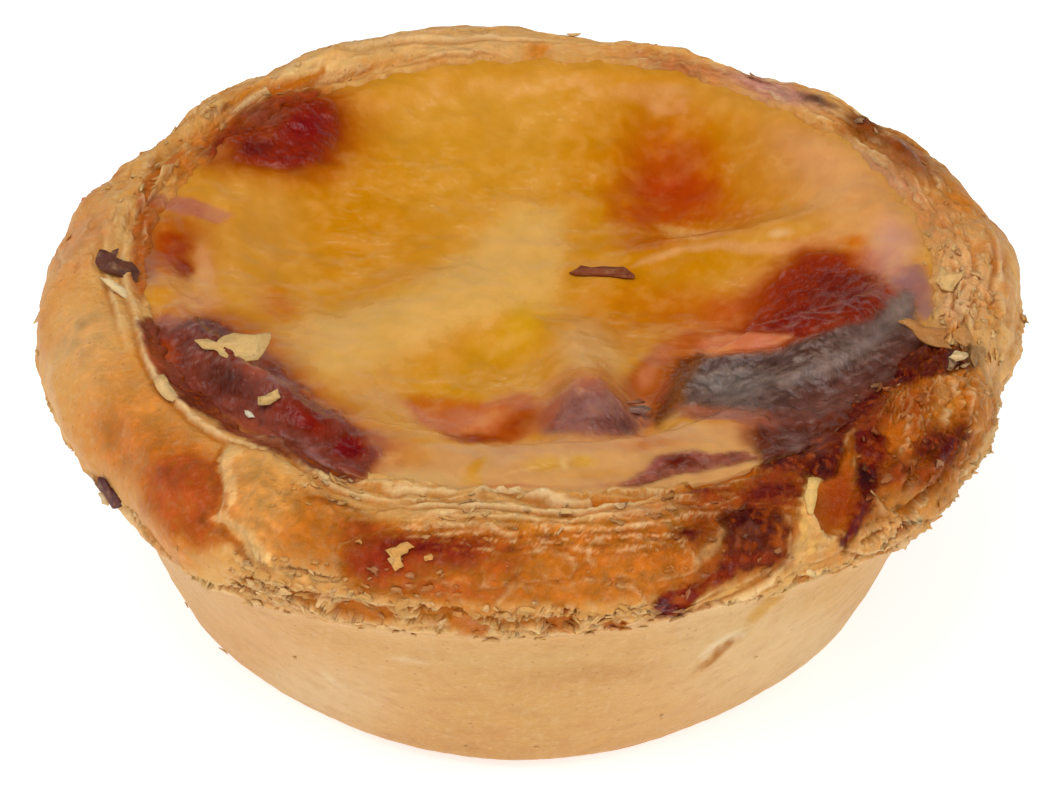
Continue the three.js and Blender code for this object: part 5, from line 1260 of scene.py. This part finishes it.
me = bpy.data.meshes.new("floor")
W = 3.0
me.from_pydata([(-W, -W, BASE_Z - 2e-4), (W, -W, BASE_Z - 2e-4), (W, W, BASE_Z - 2e-4), (-W, W, BASE_Z - 2e-4)], [], [(0, 1, 2, 3)])
floor = bpy.data.objects.new("floor", me)
bpy.context.scene.collection.objects.link(floor)
me.materials.append(plain("pale_floor", (0.62, 0.62, 0.62), 0.9, 0.68))


def softbox(name, az, el, dist, size, power, colour=(1, 1, 1), aim=(0, 0, 0.02)):
    """A square soft light at an azimuth (0 in front, anticlockwise from above) and elevation."""
    a, e = math.radians(az), math.radians(el)
    pos = np.array([math.sin(a) * math.cos(e), -math.cos(a) * math.cos(e), math.sin(e)]) * dist + np.array(aim)
    light = bpy.data.lights.new(name, "AREA")
    light.shape = "SQUARE"
    light.size = size
    light.energy = power
    light.color = colour
    o = bpy.data.objects.new(name, light)
    o.location = pos
    d = np.array(aim) - pos
    from mathutils import Vector
    o.rotation_euler = Vector(d).to_track_quat("-Z", "Y").to_euler()
    bpy.context.scene.collection.objects.link(o)
    return o


softbox("key_left", -38, 60, 1.1, 0.7, 7.2)
softbox("key_right", 36, 52, 1.1, 0.6, 3.8)
softbox("overhead", 0, 88, 1.1, 0.6, 1.4)

world = bpy.data.worlds.new("studio")
bpy.context.scene.world = world
world.use_nodes = True
wn = world.node_tree
bg = wn.nodes["Background"] if "Background" in wn.nodes else wn.nodes.new("ShaderNodeBackground")
tc = wn.nodes.new("ShaderNodeTexCoord")
sp = wn.nodes.new("ShaderNodeSeparateXYZ")
cr = wn.nodes.new("ShaderNodeValToRGB")
wn.links.new(tc.outputs["Generated"], sp.inputs["Vector"])
mr = wn.nodes.new("ShaderNodeMapRange")
mr.inputs["From Min"].default_value = -1
mr.inputs["From Max"].default_value = 1
wn.links.new(sp.outputs["Z"], mr.inputs["Value"])
wn.links.new(mr.outputs["Result"], cr.inputs["Fac"])
e = cr.color_ramp.elements
e[0].position, e[0].color = 0.5, (1, 1, 1, 1)
e[1].position, e[1].color = 0.66, (0.95, 0.95, 0.97, 1)
n3 = e.new(0.76)
n3.color = (0.10, 0.10, 0.11, 1)
n4 = e.new(1.0)
n4.color = (0.12, 0.12, 0.13, 1)
wn.links.new(cr.outputs["Color"], bg.inputs["Color"])
bg.inputs["Strength"].default_value = 0.72

cam_data = bpy.data.cameras.new("camera")
cam = bpy.data.objects.new("camera", cam_data)
bpy.context.scene.collection.objects.link(cam)
cam_data.sensor_width = 36.0
cam_data.sensor_fit = "HORIZONTAL"
cam_data.lens = 4418.8 / 1054 * 36
cam_data.shift_y = 0.0154
cam_data.clip_start = 0.01
cam.location = (EYE[0] * MM, EYE[1] * MM, BASE_Z + EYE[2] * MM)
cam.rotation_euler = (math.radians(90 - 35), 0, 0)
bpy.context.scene.camera = cam
bpy.context.scene.view_settings.view_transform = "Standard"
bpy.context.scene.view_settings.look = "None"
